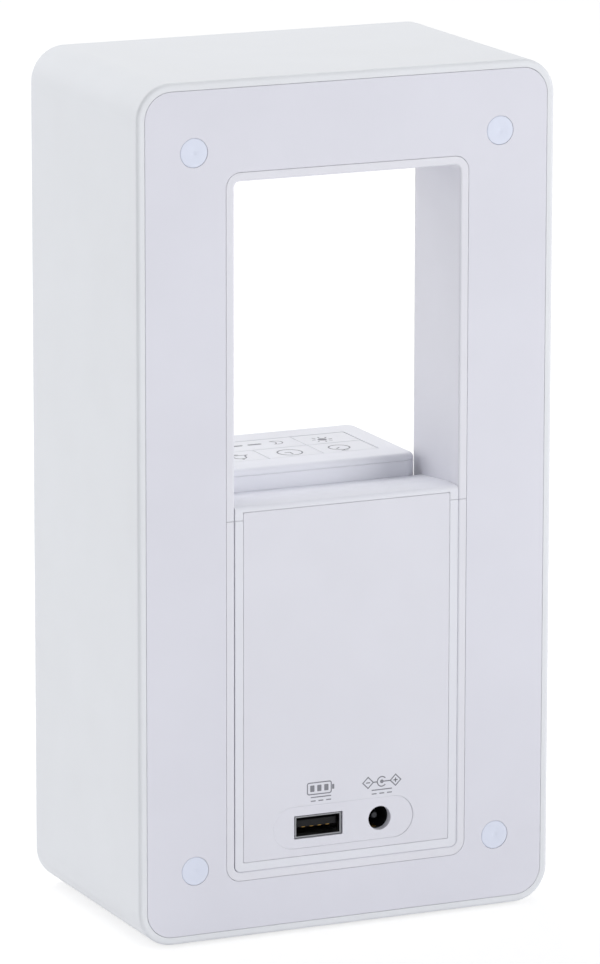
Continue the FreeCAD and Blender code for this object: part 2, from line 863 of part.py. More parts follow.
def housing_openings():
    """Recesses and windows in the front wall, and the hatch and ribbon slot in the rear wall."""
    hatch = (block_inside - hatch_side_margin, block_bottom + block_wall + hatch_end_margin,
             key_board_top - hatch_end_margin, block_wall)
    lens_recess = upright(lens_size[0] / 2.0, display_height, lens_size[1], face_corner_r)
    grille_recess = upright(grille_width / 2.0, speaker_height, grille_high, face_corner_r)
    wall_end = block_rear + block_wall + past
    half = ribbon_width / 2.0 + loose
    return [
        slab(lens_recess, block_front - lens_thick, block_front + past),
        slab(inset(lens_recess, display_frame), inner_front - past, block_front),
        slab(grille_recess, block_front - grille_thick, block_front + past),
        rod(0, speaker_height, sound_hole_r, inner_front - past, block_front),
        slab(hatch, block_rear - past, wall_end),
        box(key_ribbon_x - half, key_ribbon_x + half, block_rear - past, wall_end,
            key_ribbon_level - 2 * loose, key_ribbon_level + ribbon_thick + 2 * loose),
    ]


def housing_screw_holes():
    joint_end = block_rear + joint_boss_height - past
    board_end = block_rear + bite + past
    front_end = inner_front + bite
    holes = [screw_hole(x, z, small_screw, block_rear - past, joint_end) for x, z in joint_points]
    holes += [screw_hole(x, z, small_screw, board_front - past, board_end) for x, z in standoff_points]
    holes += [screw_hole(x, z, tiny_screw, flange_rear - past, front_end) for x, z in speaker_points]
    holes += [screw_hole(x, z, tiny_screw, display_rear - past, front_end) for x, z in display_points]
    return holes


def make_front_housing():
    """The block: four walls and a floor, open on top, with places for boards, display and speaker."""
    top = cap_seam - seam_gap / 2.0
    outer = plan_slab(block_half, block_rear, block_front, block_corner_r, block_bottom, top)
    outer = outer.makeFillet(block_round, edges_at_height(outer, block_bottom))
    hollow = plan_slab(block_inside, block_rear + block_wall, inner_front, block_corner_r - block_wall,
                       block_bottom + block_wall, top + past)
    body = joined([outer.cut(hollow)] + housing_bosses())
    return without(body, housing_openings() + housing_screw_holes())


def make_joint_screws():
    """The screws that tie the rear housing's flange to the block."""
    seat = frame_depth - frame_flange_thick
    return [screw_in(x, z, seat, small_screw, joint_screw_length) for x, z in joint_points]


def make_board_screws():
    """The screws of the main board, the display's board and the keys' board."""
    display_seat = display_rear - board_thick
    key_seat = key_board_top - key_board_thick
    screws = [screw_in(x, z, board_rear, small_screw, board_screw_length) for x, z in standoff_points]
    screws += [screw_in(x, z, display_seat, tiny_screw, display_screw_length) for x, z in display_points]
    screws += [screw_up(x, depth, key_seat, tiny_screw, key_board_screw_length)
               for x, depth in cap_boss_points]
    return screws


def make_main_board():
    board = slab((board_half, board_bottom, board_top, least_r), board_rear, board_front)
    return without(board, [screw_hole(x, z, small_screw, board_rear - past, board_front + past)
                           for x, z in standoff_points])


def make_board_parts():
    """Capacitors, coil, processor, amplifier and regulators on the rear of the main board."""
    parts = [rod(x, board_middle + rise, r, board_rear - tall, board_rear) for x, rise, r, tall in capacitors]
    for x, rise, wide, long, tall in (coil,) + chips:
        z = board_middle + rise
        parts.append(box(x - wide / 2.0, x + wide / 2.0, board_rear - tall, board_rear, z - long / 2.0,
                         z + long / 2.0))
    return parts


def make_battery_holder():
    rear = board_rear - battery_thick - battery_floor
    rim = rod(battery_x, battery_height, battery_r + battery_rim, rear, board_rear)
    return rim.cut(rod(battery_x, battery_height, battery_r + slip, rear - past, board_rear - battery_floor))


def make_battery():
    front = board_rear - battery_floor
    return rod(battery_x, battery_height, battery_r, front - battery_thick, front)


def usb_block(wide, high, depth0, depth1, rise=0.0):
    """A block on the USB socket's axis."""
    z = port_height + rise
    return box(usb_x - wide / 2.0, usb_x + wide / 2.0, depth0, depth1, z - high / 2.0, z + high / 2.0)


def make_usb_shell():
    wide, high = usb_shell
    thin = 2 * usb_shell_wall
    outside = usb_block(wide, high, usb_mouth, board_rear)
    return outside.cut(usb_block(wide - thin, high - thin, usb_mouth - past, board_rear + past))


def make_usb_tongue():
    """The insulator: a root that fills the shell's rear and a tongue towards its mouth."""
    thin = 2 * (usb_shell_wall + press)
    root_start = board_rear - usb_root_length
    root = usb_block(usb_shell[0] - thin, usb_shell[1] - thin, root_start, board_rear)
    tongue = usb_block(usb_tongue[0], usb_tongue[1], usb_mouth + usb_tongue_setback, root_start + bite,
                       usb_tongue_rise)
    return joined([root, tongue])


def make_usb_contacts():
    under = port_height + usb_tongue_rise - usb_tongue[1] / 2.0
    half = usb_contact_width / 2.0
    start = usb_mouth + usb_tongue_setback + half
    end = board_rear - usb_root_length
    places = [usb_x + (index - 1.5) * usb_contact_pitch for index in range(4)]
    return [box(x - half, x + half, start, end, under - usb_contact_thick, under) for x in places]


def dc_spring_block(grow):
    """The contact strip, which lies in a groove along the bore's floor."""
    wide, thick, long = dc_spring
    reach = wide / 2.0 + grow
    top = port_height - dc_hole_r + dc_spring_stands_in
    end = panel_wall + dc_bore_depth
    return box(dc_x - reach, dc_x + reach, end - long - grow, end, top - thick - grow, top)


def make_dc_body():
    """The power inlet's body, with its round bore, the pin's hole and the spring's groove."""
    wide, high = dc_body
    body = box(dc_x - wide / 2.0, dc_x + wide / 2.0, panel_wall, board_rear, port_height - high / 2.0,
               port_height + high / 2.0)
    holes = [
        rod(dc_x, port_height, dc_hole_r, panel_wall - past, panel_wall + dc_bore_depth),
        rod(dc_x, port_height, dc_pin_r + press, panel_wall, board_rear - dc_body_floor),
        dc_spring_block(press),
    ]
    return without(body, holes)


def make_dc_pin():
    tip = panel_wall + dc_pin_setback
    pin = rod(dc_x, port_height, dc_pin_r, tip, board_rear - dc_body_floor)
    return pin.makeFillet(dc_pin_r / 2.0, edges_at_depth(pin, tip))


# Keys

def key_outlines():
    """Each key's left, right, rear and front edges. The snooze key takes two columns."""
    half = key_width / 2.0
    side = key_width + key_gap
    rear_row = (field_rear + key_gap, field_rear + key_gap + key_length)
    front_row = (field_front - key_gap - key_length, field_front - key_gap)
    return {
        "timer": (-side - half, half - side) + rear_row,
        "clock": (-half, half) + rear_row,
        "alarm": (side - half, side + half) + rear_row,
        "light": (-side - half, half - side) + front_row,
        "snooze": (-half, side + half) + front_row,
    }


def make_key(x0, x1, depth0, depth1):
    """A key plate, a lip under the cap on each outer side, and a stem that stands on the plunger."""
    plate = box(x0, x1, depth0, depth1, cap_seam + slip, block_top)
    plate = plate.makeFillet(key_round, edges_at_height(plate, block_top))
    reach = key_gap + key_lip
    near = 2 * key_gap
    lip_x0 = x0 - reach if x0 < near - field_half else x0
    lip_x1 = x1 + reach if x1 > field_half - near else x1
    lip_depth0 = depth0 - reach if depth0 < field_rear + near else depth0
    lip_depth1 = depth1 + reach if depth1 > field_front - near else depth1
    lip_top = cap_seam - slip
    lip = box(lip_x0, lip_x1, lip_depth0, lip_depth1, lip_top - key_lip_thick, lip_top)
    neck = box(x0, x1, depth0, depth1, lip_top - key_lip_thick, cap_seam + bite)
    stem = upright_rod((x0 + x1) / 2.0, (depth0 + depth1) / 2.0, key_stem_r, stem_bottom, lip_top)
    return joined([plate, neck, lip, stem])


def key_centres():
    return {name: ((x0 + x1) / 2.0, (depth0 + depth1) / 2.0)
            for name, (x0, x1, depth0, depth1) in key_outlines().items()}


def make_plunger(x, depth):
    return upright_rod(x, depth, key_stem_r, stem_bottom - plunger_height, stem_bottom)


def make_switches():
    """The five push switches, each with a round pocket for its plunger."""
    half = switch_side / 2.0
    top = key_board_top + switch_height
    switches = []
    for x, depth in key_centres().values():
        body = box(x - half, x + half, depth - half, depth + half, key_board_top, top)
        switches.append(body.cut(upright_rod(x, depth, key_stem_r + slip, top - switch_pocket, top + past)))
    return switches


def make_top_cap():
    """The cap of the block: a rounded lid with one opening for the keys, a lip and four bosses."""
    lid = plan_slab(block_half, block_rear, block_front, block_corner_r, cap_seam, block_top)
    lid = lid.makeFillet(cap_round, edges_at_height(lid, block_top))
    outer = block_wall + slip
    inner = outer + cap_lip_wall
    bottom = cap_seam - cap_lip_height
    lip = plan_slab(block_half - outer, block_rear + outer, block_front - outer,
                    block_corner_r - block_wall, bottom, cap_seam + bite)
    lip = lip.cut(plan_slab(block_half - inner, block_rear + inner, block_front - inner, least_r,
                            bottom - past, cap_seam + past))
    boss = tiny_screw[0] + tiny_boss_wall
    bosses = [upright_rod(x, depth, boss, key_board_top, cap_seam + bite) for x, depth in cap_boss_points]
    holes = [box(-field_half, field_half, field_rear, field_front, cap_seam - past, block_top + past)]
    holes += [upright_rod(x, depth, tiny_screw[0] + slip, key_board_top - past, cap_seam - past)
              for x, depth in cap_boss_points]
    return without(joined([lid, lip] + bosses), holes)


def make_key_board():
    margin = block_wall + key_board_gap
    bottom = key_board_top - key_board_thick
    board = plan_slab(block_half - margin, block_rear + margin, block_front - margin, least_r, bottom,
                      key_board_top)
    return without(board, [upright_rod(x, depth, tiny_screw[0] + slip, bottom - past, key_board_top + past)
                           for x, depth in cap_boss_points])


# Display

def make_display_lens():
    outline = inset(upright(lens_size[0] / 2.0, display_height, lens_size[1], face_corner_r), slip)
    return slab(outline, block_front - lens_thick, block_front)


def make_display_module():
    outline = upright(display_half, display_height, display_high, least_r)
    return slab(outline, display_rear, display_rear + display_thick)


def make_display_board():
    outline = upright(display_board_half, display_board_middle, display_board_high, least_r)
    board = slab(outline, display_rear - board_thick, display_rear)
    return without(board, [screw_hole(x, z, tiny_screw, 0, body_depth) for x, z in display_points])


# Speaker

def make_grille():
    """A flat plate with evenly spaced round-ended slots."""
    outline = inset(upright(grille_width / 2.0, speaker_height, grille_high, face_corner_r), slip)
    back_face = block_front - grille_thick
    plate = slab(outline, back_face, block_front)
    count = int((grille_high - 2 * slot_width) / slot_pitch)
    first = speaker_height - (count - 1) * slot_pitch / 2.0
    slots = [obround(0, first + index * slot_pitch, slot_length / 2.0, slot_width / 2.0,
                     back_face - past, block_front + past) for index in range(count)]
    return without(plate, slots)


def speaker_disc(outer_r, depth0, depth1, inner_r=0.0):
    """A disc on the speaker's axis, or a ring where it has an inner radius."""
    disc = rod(0, speaker_height, outer_r, depth0, depth1)
    if inner_r:
        disc = disc.cut(rod(0, speaker_height, inner_r, depth0 - past, depth1 + past))
    return disc


def make_gasket():
    return speaker_disc(speaker_r - loose, inner_front - gasket_thick, inner_front,
                        surround_outer_r + loose)


def make_surround():
    """A half-roll of rubber between the cone's edge and the basket's flange."""
    middle = (surround_inner_r + surround_outer_r) / 2.0
    half = (surround_outer_r - surround_inner_r) / 2.0
    roll = []
    for step in range(surround_steps + 1):
        angle = math.pi * step / surround_steps
        roll.append((middle - half * math.cos(angle), flange_front + surround_roll * math.sin(angle)))
    inner = surround_inner_r - surround_lap
    outer = speaker_r - loose
    rear_side = [(inner, flange_front)] + roll + [(outer, flange_front)]
    front_side = [(radius, depth + surround_land) for radius, depth in rear_side]
    return turned(rear_side + front_side[::-1], 0, speaker_height)


def make_basket():
    """The pressed frame: a flange, a sloping side with four windows, and a flat back."""
    mouth = surround_outer_r
    profile = [
        (mouth, flange_front),
        (speaker_r, flange_front),
        (speaker_r, flange_rear),
        (mouth + basket_wall, flange_rear),
        (basket_neck_r + basket_wall, neck_rear),
        (coil_r + basket_foot, neck_rear),
        (coil_r + basket_foot, neck_front),
        (basket_neck_r, neck_front),
    ]
    window_rear = neck_front + basket_rim
    window_front = flange_rear - basket_rim
    half = basket_neck_r / 2.0
    reach = speaker_r + past
    level = box(-reach, reach, window_rear, window_front, speaker_height - half, speaker_height + half)
    standing = box(-half, half, window_rear, window_front, speaker_height - reach, speaker_height + reach)
    return without(turned(profile, 0, speaker_height), [level, standing])


def make_top_plate():
    return speaker_disc(magnet_r - plate_inset, plate_rear, neck_rear, coil_outer_r + loose)


def make_magnet():
    return speaker_disc(magnet_r, magnet_rear, plate_rear, coil_outer_r + magnet_bore_gap)


def make_yoke():
    """A disc with a centre pole that reaches into the voice coil."""
    disc = speaker_disc(magnet_r - plate_inset, magnet_rear - yoke_thick, magnet_rear)
    pole = speaker_disc(coil_r - loose, magnet_rear - bite, neck_rear)
    return joined([disc, pole])


def make_voice_coil():
    return speaker_disc(coil_outer_r, plate_rear - cone_travel, cone_back, coil_r)


def make_cone():
    """A shallow paper cone from the voice coil to the surround."""
    front = flange_front - slip
    edge = surround_inner_r - slip
    flat = edge - surround_lap
    profile = [
        (coil_r, cone_back),
        (flat, front - cone_wall),
        (edge, front - cone_wall),
        (edge, front),
        (flat - cone_wall, front),
        (coil_r, cone_back + 1.5 * cone_wall),
    ]
    return turned(profile, 0, speaker_height)


def make_dust_cap():
    """A shallow dome over the voice coil, standing on the cone."""
    r = coil_r + dust_cap_lap
    slope = (flange_front - cone_back) / (surround_inner_r - surround_lap - coil_r)
    foot = cone_back + dust_cap_lap * slope + 1.5 * cone_wall
    shoulder = foot + 0.7 * dust_cap_rise
    profile = [
        (0.0, foot + dust_cap_rise - cone_wall),
        (0.55 * r, shoulder - cone_wall),
        (r - cone_wall, foot),
        (r, foot),
        (0.6 * r, shoulder),
        (0.0, foot + dust_cap_rise),
    ]
    return turned(profile, 0, speaker_height)


def make_spider():
    """A flat corrugated ring that centres the voice coil."""
    inner = coil_outer_r + press
    outer = basket_neck_r - slip
    web = outer - spider_foot
    level = neck_front + spider_rise
    steps = 2 * spider_waves
    over = [(inner, level)]
    for step in range(steps + 1):
        radius = inner + cone_wall + (web - inner - 2 * cone_wall) * step / steps
        over.append((radius, level + (spider_wave if step % 2 else 0.0)))
    under = [(radius, depth - cone_wall) for radius, depth in over]
    foot = [
        (web + cone_wall, level),
        (web + cone_wall, neck_front + cone_wall),
        (outer, neck_front + cone_wall),
        (outer, neck_front),
        (web, neck_front),
        (web, level - cone_wall),
    ]
    return turned(over + foot + under[::-1], 0, speaker_height)


def make_speaker_screws():
    length = basket_wall + surround_land + gasket_thick
    return [screw_in(x, z, flange_rear, wide_screw, length) for x, z in speaker_points]


# Leads

def bent_path(points, radii):
    """A path of straight runs joined by arcs of the given radii at its inner points."""
    edges = []
    last = points[0]
    for index, radius in enumerate(radii, start=1):
        before = (points[index - 1] - points[index]).normalize()
        after = (points[index + 1] - points[index]).normalize()
        half_angle = before.getAngle(after) / 2.0
        reach = radius / math.tan(half_angle)
        bisector = (before + after).normalize()
        middle = points[index] + bisector * (radius / math.sin(half_angle) - radius)
        first = points[index] + before * reach
        final = points[index] + after * reach
        edges.append(Part.makeLine(last, first))
        edges.append(Part.Arc(first, middle, final).toShape())
        last = final
    edges.append(Part.makeLine(last, points[-1]))
    return Part.Wire(edges)


def ribbon(points, radii, across, thick_way):
    """A flat lead: a thin strip along the path, made by sweeping its narrow section."""
    start = points[0]
    side = across * (ribbon_width / 2.0)
    up = thick_way * ribbon_thick
    corners = [start - side, start + side, start + side + up, start - side + up]
    section = Part.makePolygon(corners + corners[:1])
    return bent_path(points, radii).makePipeShell([section], True, False)


def make_light_ribbon():
    """From the main board through both side walls, then forward through the tray to the light board."""
    front = light_board_front + bite
    points = [
        at(light_connector_x, ribbon_depth, ribbon_height),
        at(light_ribbon_x, ribbon_depth, ribbon_height),
        at(light_ribbon_x, front, ribbon_height),
        at(light_ribbon_end, front, ribbon_height),
    ]
    radii = (ribbon_bend_r, light_ribbon_bend_r)
    return ribbon(points, radii, FreeCAD.Vector(0, 0, 1), FreeCAD.Vector(0, -1, 0))


def make_key_ribbon():
    """From under the key board back through the block's rear wall and down to the main board."""
    near_board = board_rear - ribbon_behind_board - ribbon_thick
    points = [
        at(key_ribbon_x, key_ribbon_start, key_ribbon_level),
        at(key_ribbon_x, near_board, key_ribbon_level),
        at(key_ribbon_x, near_board, key_ribbon_end),
    ]
    return ribbon(points, (key_ribbon_bend_r,), FreeCAD.Vector(1, 0, 0), FreeCAD.Vector(0, 0, 1))


def make_display_ribbon():
    """From the back of the display board to the front of the main board."""
    start = display_rear - board_thick - connector_height
    end = board_front + connector_height
    middle = (start + end) / 2.0
    points = [
        at(display_ribbon_x, start, display_ribbon_high),
        at(display_ribbon_x, middle, display_ribbon_high),
        at(display_ribbon_x, middle, display_ribbon_low),
        at(display_ribbon_x, end, display_ribbon_low),
    ]
    radii = (ribbon_bend_r, ribbon_bend_r)
    return ribbon(points, radii, FreeCAD.Vector(1, 0, 0), FreeCAD.Vector(0, 0, 1))


def make_connectors():
    """The plug-in blocks that hold the three ribbons and the speaker leads on their boards."""
    half = ribbon_width / 2.0 + connector_margin
    long = connector_length
    tall = connector_height
    light_x = light_connector_x
    light_z = (ribbon_height - half, ribbon_height + half)
    under_keys = key_board_top - key_board_thick
    display_back = display_rear - board_thick
    key_x = (key_ribbon_x - half, key_ribbon_x + half)
    display_x = (display_ribbon_x - half, display_ribbon_x + half)
    return [
        box(light_x - long, light_x, board_rear - tall, board_rear, *light_z),
        box(light_ribbon_end, light_ribbon_end + long, light_board_front, light_board_front + tall, *light_z),
        box(*key_x, key_ribbon_start, key_ribbon_start + long, under_keys - tall, under_keys),
        box(*key_x, board_rear - tall, board_rear, key_ribbon_end - long, key_ribbon_end),
        box(*display_x, display_back - tall, display_back, display_ribbon_high - long / 2.0,
            display_ribbon_high + long / 2.0),
        box(*display_x, board_front, board_front + tall, display_ribbon_low - long / 2.0,
            display_ribbon_low + long / 2.0),
        box(strip_x0, strip_x0 + strip_wide, board_front, board_front + tall, strip_low - strip_thick / 2.0,
            strip_low + strip_thick),
    ]


def make_terminal_strip():
    """The strip at the basket's back edge that the voice coil's wires are soldered to."""
    half = strip_length / 2.0
    return box(strip_x0, strip_x0 + strip_wide, neck_rear - half, neck_rear + half, strip_low,
               strip_low + strip_thick)


def make_speaker_leads():
    """Two thin leads from the terminal strip to their socket on the front of the main board."""
    start = neck_rear - strip_length / 2.0 - slip
    end = board_front + connector_height + 2 * slip
    first_bend, second_bend = [end + share * (start - end) for share in lead_bend_shares]
    z = strip_low + strip_thick / 2.0
    leads = []
    for x in (lead_x, lead_x + lead_pitch):
        points = [
            at(x, start, z),
            at(x, first_bend, z + 2 * lead_r),
            at(x, second_bend, z - 4 * lead_r),
            at(x, end, z - lead_r),
        ]
        path = bent_path(points, (lead_bend_r, lead_bend_r))
        way = (points[1] - points[0]).normalize()
        section = Part.Wire(Part.makeCircle(lead_r, points[0], way))
        leads.append(path.makePipeShell([section], True, False))
    return leads


os.makedirs("parts", exist_ok=True)

save("outer_shell", make_outer_shell())
save("base_feet", make_feet())
save("rear_cover", make_rear_cover())
save("screw_plugs", make_plugs())
save("body_screws", make_body_screws())
save("window_liner", make_window_liner())
save("lower_liner", make_lower_liner())
save("reflector_tray", make_tray())
save("light_board", make_light_board())
save("leds", make_leds())
save("front_diffuser", make_front_diffuser())
save("module_rear_housing", make_rear_housing())
save("module_sill", make_sill())
save("rear_panel", make_rear_panel())
save("side_screws", make_side_screws())
save("module_front_housing", make_front_housing())
save("joint_screws", make_joint_screws())
save("main_board", make_main_board())
save("board_screws", make_board_screws())
save("board_parts", make_board_parts())
save("battery_holder", make_battery_holder())
save("backup_battery", make_battery())
save("usb_shell", make_usb_shell())
save("usb_tongue", make_usb_tongue())
save("usb_contacts", make_usb_contacts())
save("dc_jack_body", make_dc_body())
save("dc_jack_pin", make_dc_pin())
save("dc_jack_spring", dc_spring_block(0.0))
save("top_cap", make_top_cap())
for key, key_edges in key_outlines().items():
    save(key + "_key", make_key(*key_edges))
    save(key + "_plunger", make_plunger(*key_centres()[key]))
save("key_board", make_key_board())
save("key_switches", make_switches())
save("display_lens", make_display_lens())
save("display_module", make_display_module())
save("display_board", make_display_board())
save("speaker_grille", make_grille())
save("speaker_gasket", make_gasket())
save("speaker_surround", make_surround())
save("speaker_basket", make_basket())
save("speaker_top_plate", make_top_plate())
save("speaker_magnet", make_magnet())
save("speaker_yoke", make_yoke())
save("speaker_cone", make_cone())
save("dust_cap", make_dust_cap())
save("voice_coil", make_voice_coil())
save("speaker_spider", make_spider())
save("speaker_screws", make_speaker_screws())
save("ribbons", [make_light_ribbon(), make_key_ribbon(), make_display_ribbon()])
save("connectors", make_connectors() + [make_terminal_strip()])
save("speaker_leads", make_speaker_leads())
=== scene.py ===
"""Wake-up light, seen from behind and a little above, as in the photograph.

The CAD nodes keep their shapes and get finishes here. New pieces are surfaces worked out with numpy: a
function of two parameters on a grid, or a profile carried round a circle or along a line. Places are given
in millimetres, as in the part's source, and become metres in the mesh.
"""
import math

import bmesh
import bpy
import numpy as np
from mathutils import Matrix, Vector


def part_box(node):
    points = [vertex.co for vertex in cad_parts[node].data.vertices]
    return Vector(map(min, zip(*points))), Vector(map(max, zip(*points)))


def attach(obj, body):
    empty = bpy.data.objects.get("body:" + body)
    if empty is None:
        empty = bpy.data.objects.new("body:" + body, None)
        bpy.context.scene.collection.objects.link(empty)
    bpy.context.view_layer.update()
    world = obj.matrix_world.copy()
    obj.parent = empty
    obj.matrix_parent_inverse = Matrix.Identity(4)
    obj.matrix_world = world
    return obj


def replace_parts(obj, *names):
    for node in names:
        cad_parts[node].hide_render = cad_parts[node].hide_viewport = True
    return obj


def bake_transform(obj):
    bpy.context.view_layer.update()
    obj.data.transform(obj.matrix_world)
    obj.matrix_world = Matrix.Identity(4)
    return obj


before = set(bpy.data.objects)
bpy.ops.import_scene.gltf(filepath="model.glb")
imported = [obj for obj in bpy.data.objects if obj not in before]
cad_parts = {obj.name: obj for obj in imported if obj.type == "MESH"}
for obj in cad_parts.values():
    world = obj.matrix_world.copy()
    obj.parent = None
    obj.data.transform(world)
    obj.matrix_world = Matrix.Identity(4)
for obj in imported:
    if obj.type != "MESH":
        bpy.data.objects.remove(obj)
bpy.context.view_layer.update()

# A millimetre in metres, and the distance in mm at which two points count as one
MM = 0.001
MERGE = 0.001

# Camera, fitted to the body's edges in the photograph: place in metres, turns in radians, lens in mm
CAMERA_PLACE = (0.698235, 1.542619, 0.490563)
CAMERA_TURN = (1.350696, -0.001659, 2.715464)
CAMERA_LENS = 247.06
CAMERA_SENSOR = 36.0
CAMERA_CLIP = (0.1, 30.0)

# Lamps: each one's place and width in metres and its power in watts. All of them face one point.
LAMP_AIM = (0.0, 0.0, 0.12)
LAMPS = {
    "over_front": ((0.1, -1.0, 1.3), 1.0, 9.9),
    "low_behind_right": ((-1.0, 1.2, 0.45), 0.8, 10.6),
    "front_left": ((1.0, -1.2, 0.7), 1.0, 5.4),
    "left": ((1.5, 0.2, 0.6), 1.0, 2.1),
}

# World and floor, as linear colours
WHITE = (1.0, 1.0, 1.0)
SKY = (0.975, 0.985, 1.0)
SKY_STRENGTH = 0.475
FLOOR_REACH = 6.0
FLOOR_PAPER = (0.92, 0.92, 0.93)
FLOOR_SEEN = (0.42, 0.42, 0.42)
FLOOR_GLOW = 0.72


def corners(node):
    """A CAD node's lowest and highest corners at rest, in mm."""
    low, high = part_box(node)
    return np.array(low) / MM, np.array(high) / MM


# Places on the frame: the shell's foot and back, the keys' top, the display's and the speaker's middles
shell_low, shell_high = corners("outer_shell")
lens_low, lens_high = corners("display_lens")
surround_low, surround_high = corners("speaker_surround")
FOOT = shell_low[2]
BACK = shell_high[1]
KEY_TOP = corners("clock_key")[1][2]
LENS_FRONT = lens_low[1]
LENS_HEIGHT = (lens_low[2] + lens_high[2]) / 2.0
SURROUND_REAR = surround_high[1]
SPEAKER_HEIGHT = (surround_low[2] + surround_high[2]) / 2.0


# Camera and light

def make_camera():
    """The camera, placed as fitted, without a shift of its lens."""
    camera = bpy.data.objects.new("camera", bpy.data.cameras.new("camera"))
    camera.location = CAMERA_PLACE
    camera.rotation_euler = CAMERA_TURN
    camera.data.sensor_width = CAMERA_SENSOR
    camera.data.lens = CAMERA_LENS
    camera.data.clip_start, camera.data.clip_end = CAMERA_CLIP
    bpy.context.scene.collection.objects.link(camera)
    bpy.context.scene.camera = camera


def make_lamp(name, place, size, power):
    """A square area lamp at place that faces the common aim. It isn't mirrored in the satin plastic."""
    lamp = bpy.data.lights.new(name, "AREA")
    lamp.shape = "SQUARE"
    lamp.size = size
    lamp.energy = power
    holder = bpy.data.objects.new(name, lamp)
    way = np.array(LAMP_AIM) - np.array(place)
    flat = math.hypot(way[0], way[1])
    holder.location = place
    holder.rotation_euler = (math.pi / 2 + math.atan2(way[2], flat), 0.0, math.atan2(-way[0], way[1]))
    holder.visible_glossy = False
    bpy.context.scene.collection.objects.link(holder)


def plain(tree, kind, colour, strength=None):
    """A background, emission or diffuse shader of one colour."""
    node = tree.nodes.new(kind)
    node.inputs["Color"].default_value = (*colour, 1.0)
    if strength is not None:
        node.inputs["Strength"].default_value = strength
    return node.outputs[0]


def seen_or_lit(tree, lit, seen, output):
    """The seen shader where a camera, glossy or transmission ray looks, and the lit one everywhere else."""
    path = tree.nodes.new("ShaderNodeLightPath")
    looked_at = calc(tree, "MAXIMUM", path.outputs["Is Camera Ray"], path.outputs["Is Glossy Ray"])
    mix = tree.nodes.new("ShaderNodeMixShader")
    tree.links.new(calc(tree, "MAXIMUM", looked_at, path.outputs["Is Transmission Ray"]), mix.inputs[0])
    tree.links.new(lit, mix.inputs[1])
    tree.links.new(seen, mix.inputs[2])
    tree.links.new(mix.outputs[0], tree.nodes.new(output).inputs["Surface"])


def make_world():
    """White where it is looked at, and a plain soft light everywhere else."""
    world = bpy.data.worlds.new("studio")
    bpy.context.scene.world = world
    world.use_nodes = True
    tree = world.node_tree
    tree.nodes.clear()
    light = plain(tree, "ShaderNodeBackground", SKY, SKY_STRENGTH)
    backdrop = plain(tree, "ShaderNodeBackground", WHITE, 1.0)
    seen_or_lit(tree, light, backdrop, "ShaderNodeOutputWorld")


def make_floor():
    """A wide pale floor whose unshaded part is white to the camera, so that only the soft shadow shows. What
    is seen is a dim paper with a glow added, and what lights the object is pale paper."""
    mesh = bpy.data.meshes.new("floor")
    edge = FLOOR_REACH
    mesh.from_pydata([(-edge, -edge, 0), (edge, -edge, 0), (edge, edge, 0), (-edge, edge, 0)], [],
                     [(0, 1, 2, 3)])
    floor = bpy.data.objects.new("floor", mesh)
    bpy.context.scene.collection.objects.link(floor)
    mat = bpy.data.materials.new("floor_paper")
    mat.use_nodes = True
    tree = mat.node_tree
    tree.nodes.clear()
    seen = tree.nodes.new("ShaderNodeAddShader")
    tree.links.new(plain(tree, "ShaderNodeBsdfDiffuse", FLOOR_SEEN), seen.inputs[0])
    tree.links.new(plain(tree, "ShaderNodeEmission", WHITE, FLOOR_GLOW), seen.inputs[1])
    paper = plain(tree, "ShaderNodeBsdfDiffuse", FLOOR_PAPER)
    seen_or_lit(tree, paper, seen.outputs[0], "ShaderNodeOutputMaterial")
    mesh.materials.append(mat)


# Shared effects

def new_group(name, takes, gives):
    """A shader node group with named value inputs and named outputs."""
    group = bpy.data.node_groups.new(name, "ShaderNodeTree")
    for socket, default in takes:
        item = group.interface.new_socket(socket, in_out="INPUT", socket_type="NodeSocketFloat")
        item.default_value = default
    for socket, kind in gives:
        group.interface.new_socket(socket, in_out="OUTPUT", socket_type=kind)
    return group, group.nodes.new("NodeGroupInput"), group.nodes.new("NodeGroupOutput")


def calc(tree, operation, *values, clamp=False):
    """A Math node. Each value is a number or a socket."""
    node = tree.nodes.new("ShaderNodeMath")
    node.operation = operation
    node.use_clamp = clamp
    for index, value in enumerate(values):
        if isinstance(value, (int, float)):
            node.inputs[index].default_value = value
        else:
            tree.links.new(value, node.inputs[index])
    return node.outputs[0]


def per_metre(tree, size_mm):
    """How often a size in mm fits into a metre."""
    return calc(tree, "DIVIDE", 1.0 / MM, size_mm)


def noise(tree, vector, scale, detail, rough):
    """Soft noise over the vector, repeated scale times a metre."""
    node = tree.nodes.new("ShaderNodeTexNoise")
    node.inputs["Detail"].default_value = detail
    node.inputs["Roughness"].default_value = rough
    tree.links.new(vector, node.inputs["Vector"])
    tree.links.new(scale, node.inputs["Scale"])
    return node.outputs["Fac"]


def place_socket(tree):
    """The object's coordinates as one vector."""
    return tree.nodes.new("ShaderNodeTexCoord").outputs["Object"]


def split_place(tree):
    """The object's coordinates, one by one."""
    split = tree.nodes.new("ShaderNodeSeparateXYZ")
    tree.links.new(place_socket(tree), split.inputs[0])
    return split.outputs


# Detail of a noise and the roughness of that detail
FINE_NOISE = (3.0, 0.6)
SLOW_NOISE = (2.0, 0.5)


def make_grain_group():
    """Moulded grain: a fine noise of the given size in mm for the height, a wide slow one for the mottle, and
    their product for specks."""
    group, takes, gives = new_group(
        "moulded_grain",
        [("Grain mm", 0.4), ("Mottle mm", 25.0)],
        [("Height", "NodeSocketFloat"), ("Mottle", "NodeSocketFloat"), ("Speck", "NodeSocketFloat")])
    place = place_socket(group)
    fine = noise(group, place, per_metre(group, takes.outputs["Grain mm"]), *FINE_NOISE)
    slow = noise(group, place, per_metre(group, takes.outputs["Mottle mm"]), *SLOW_NOISE)
    group.links.new(fine, gives.inputs["Height"])
    group.links.new(slow, gives.inputs["Mottle"])
    group.links.new(calc(group, "MULTIPLY", fine, slow), gives.inputs["Speck"])
    return group


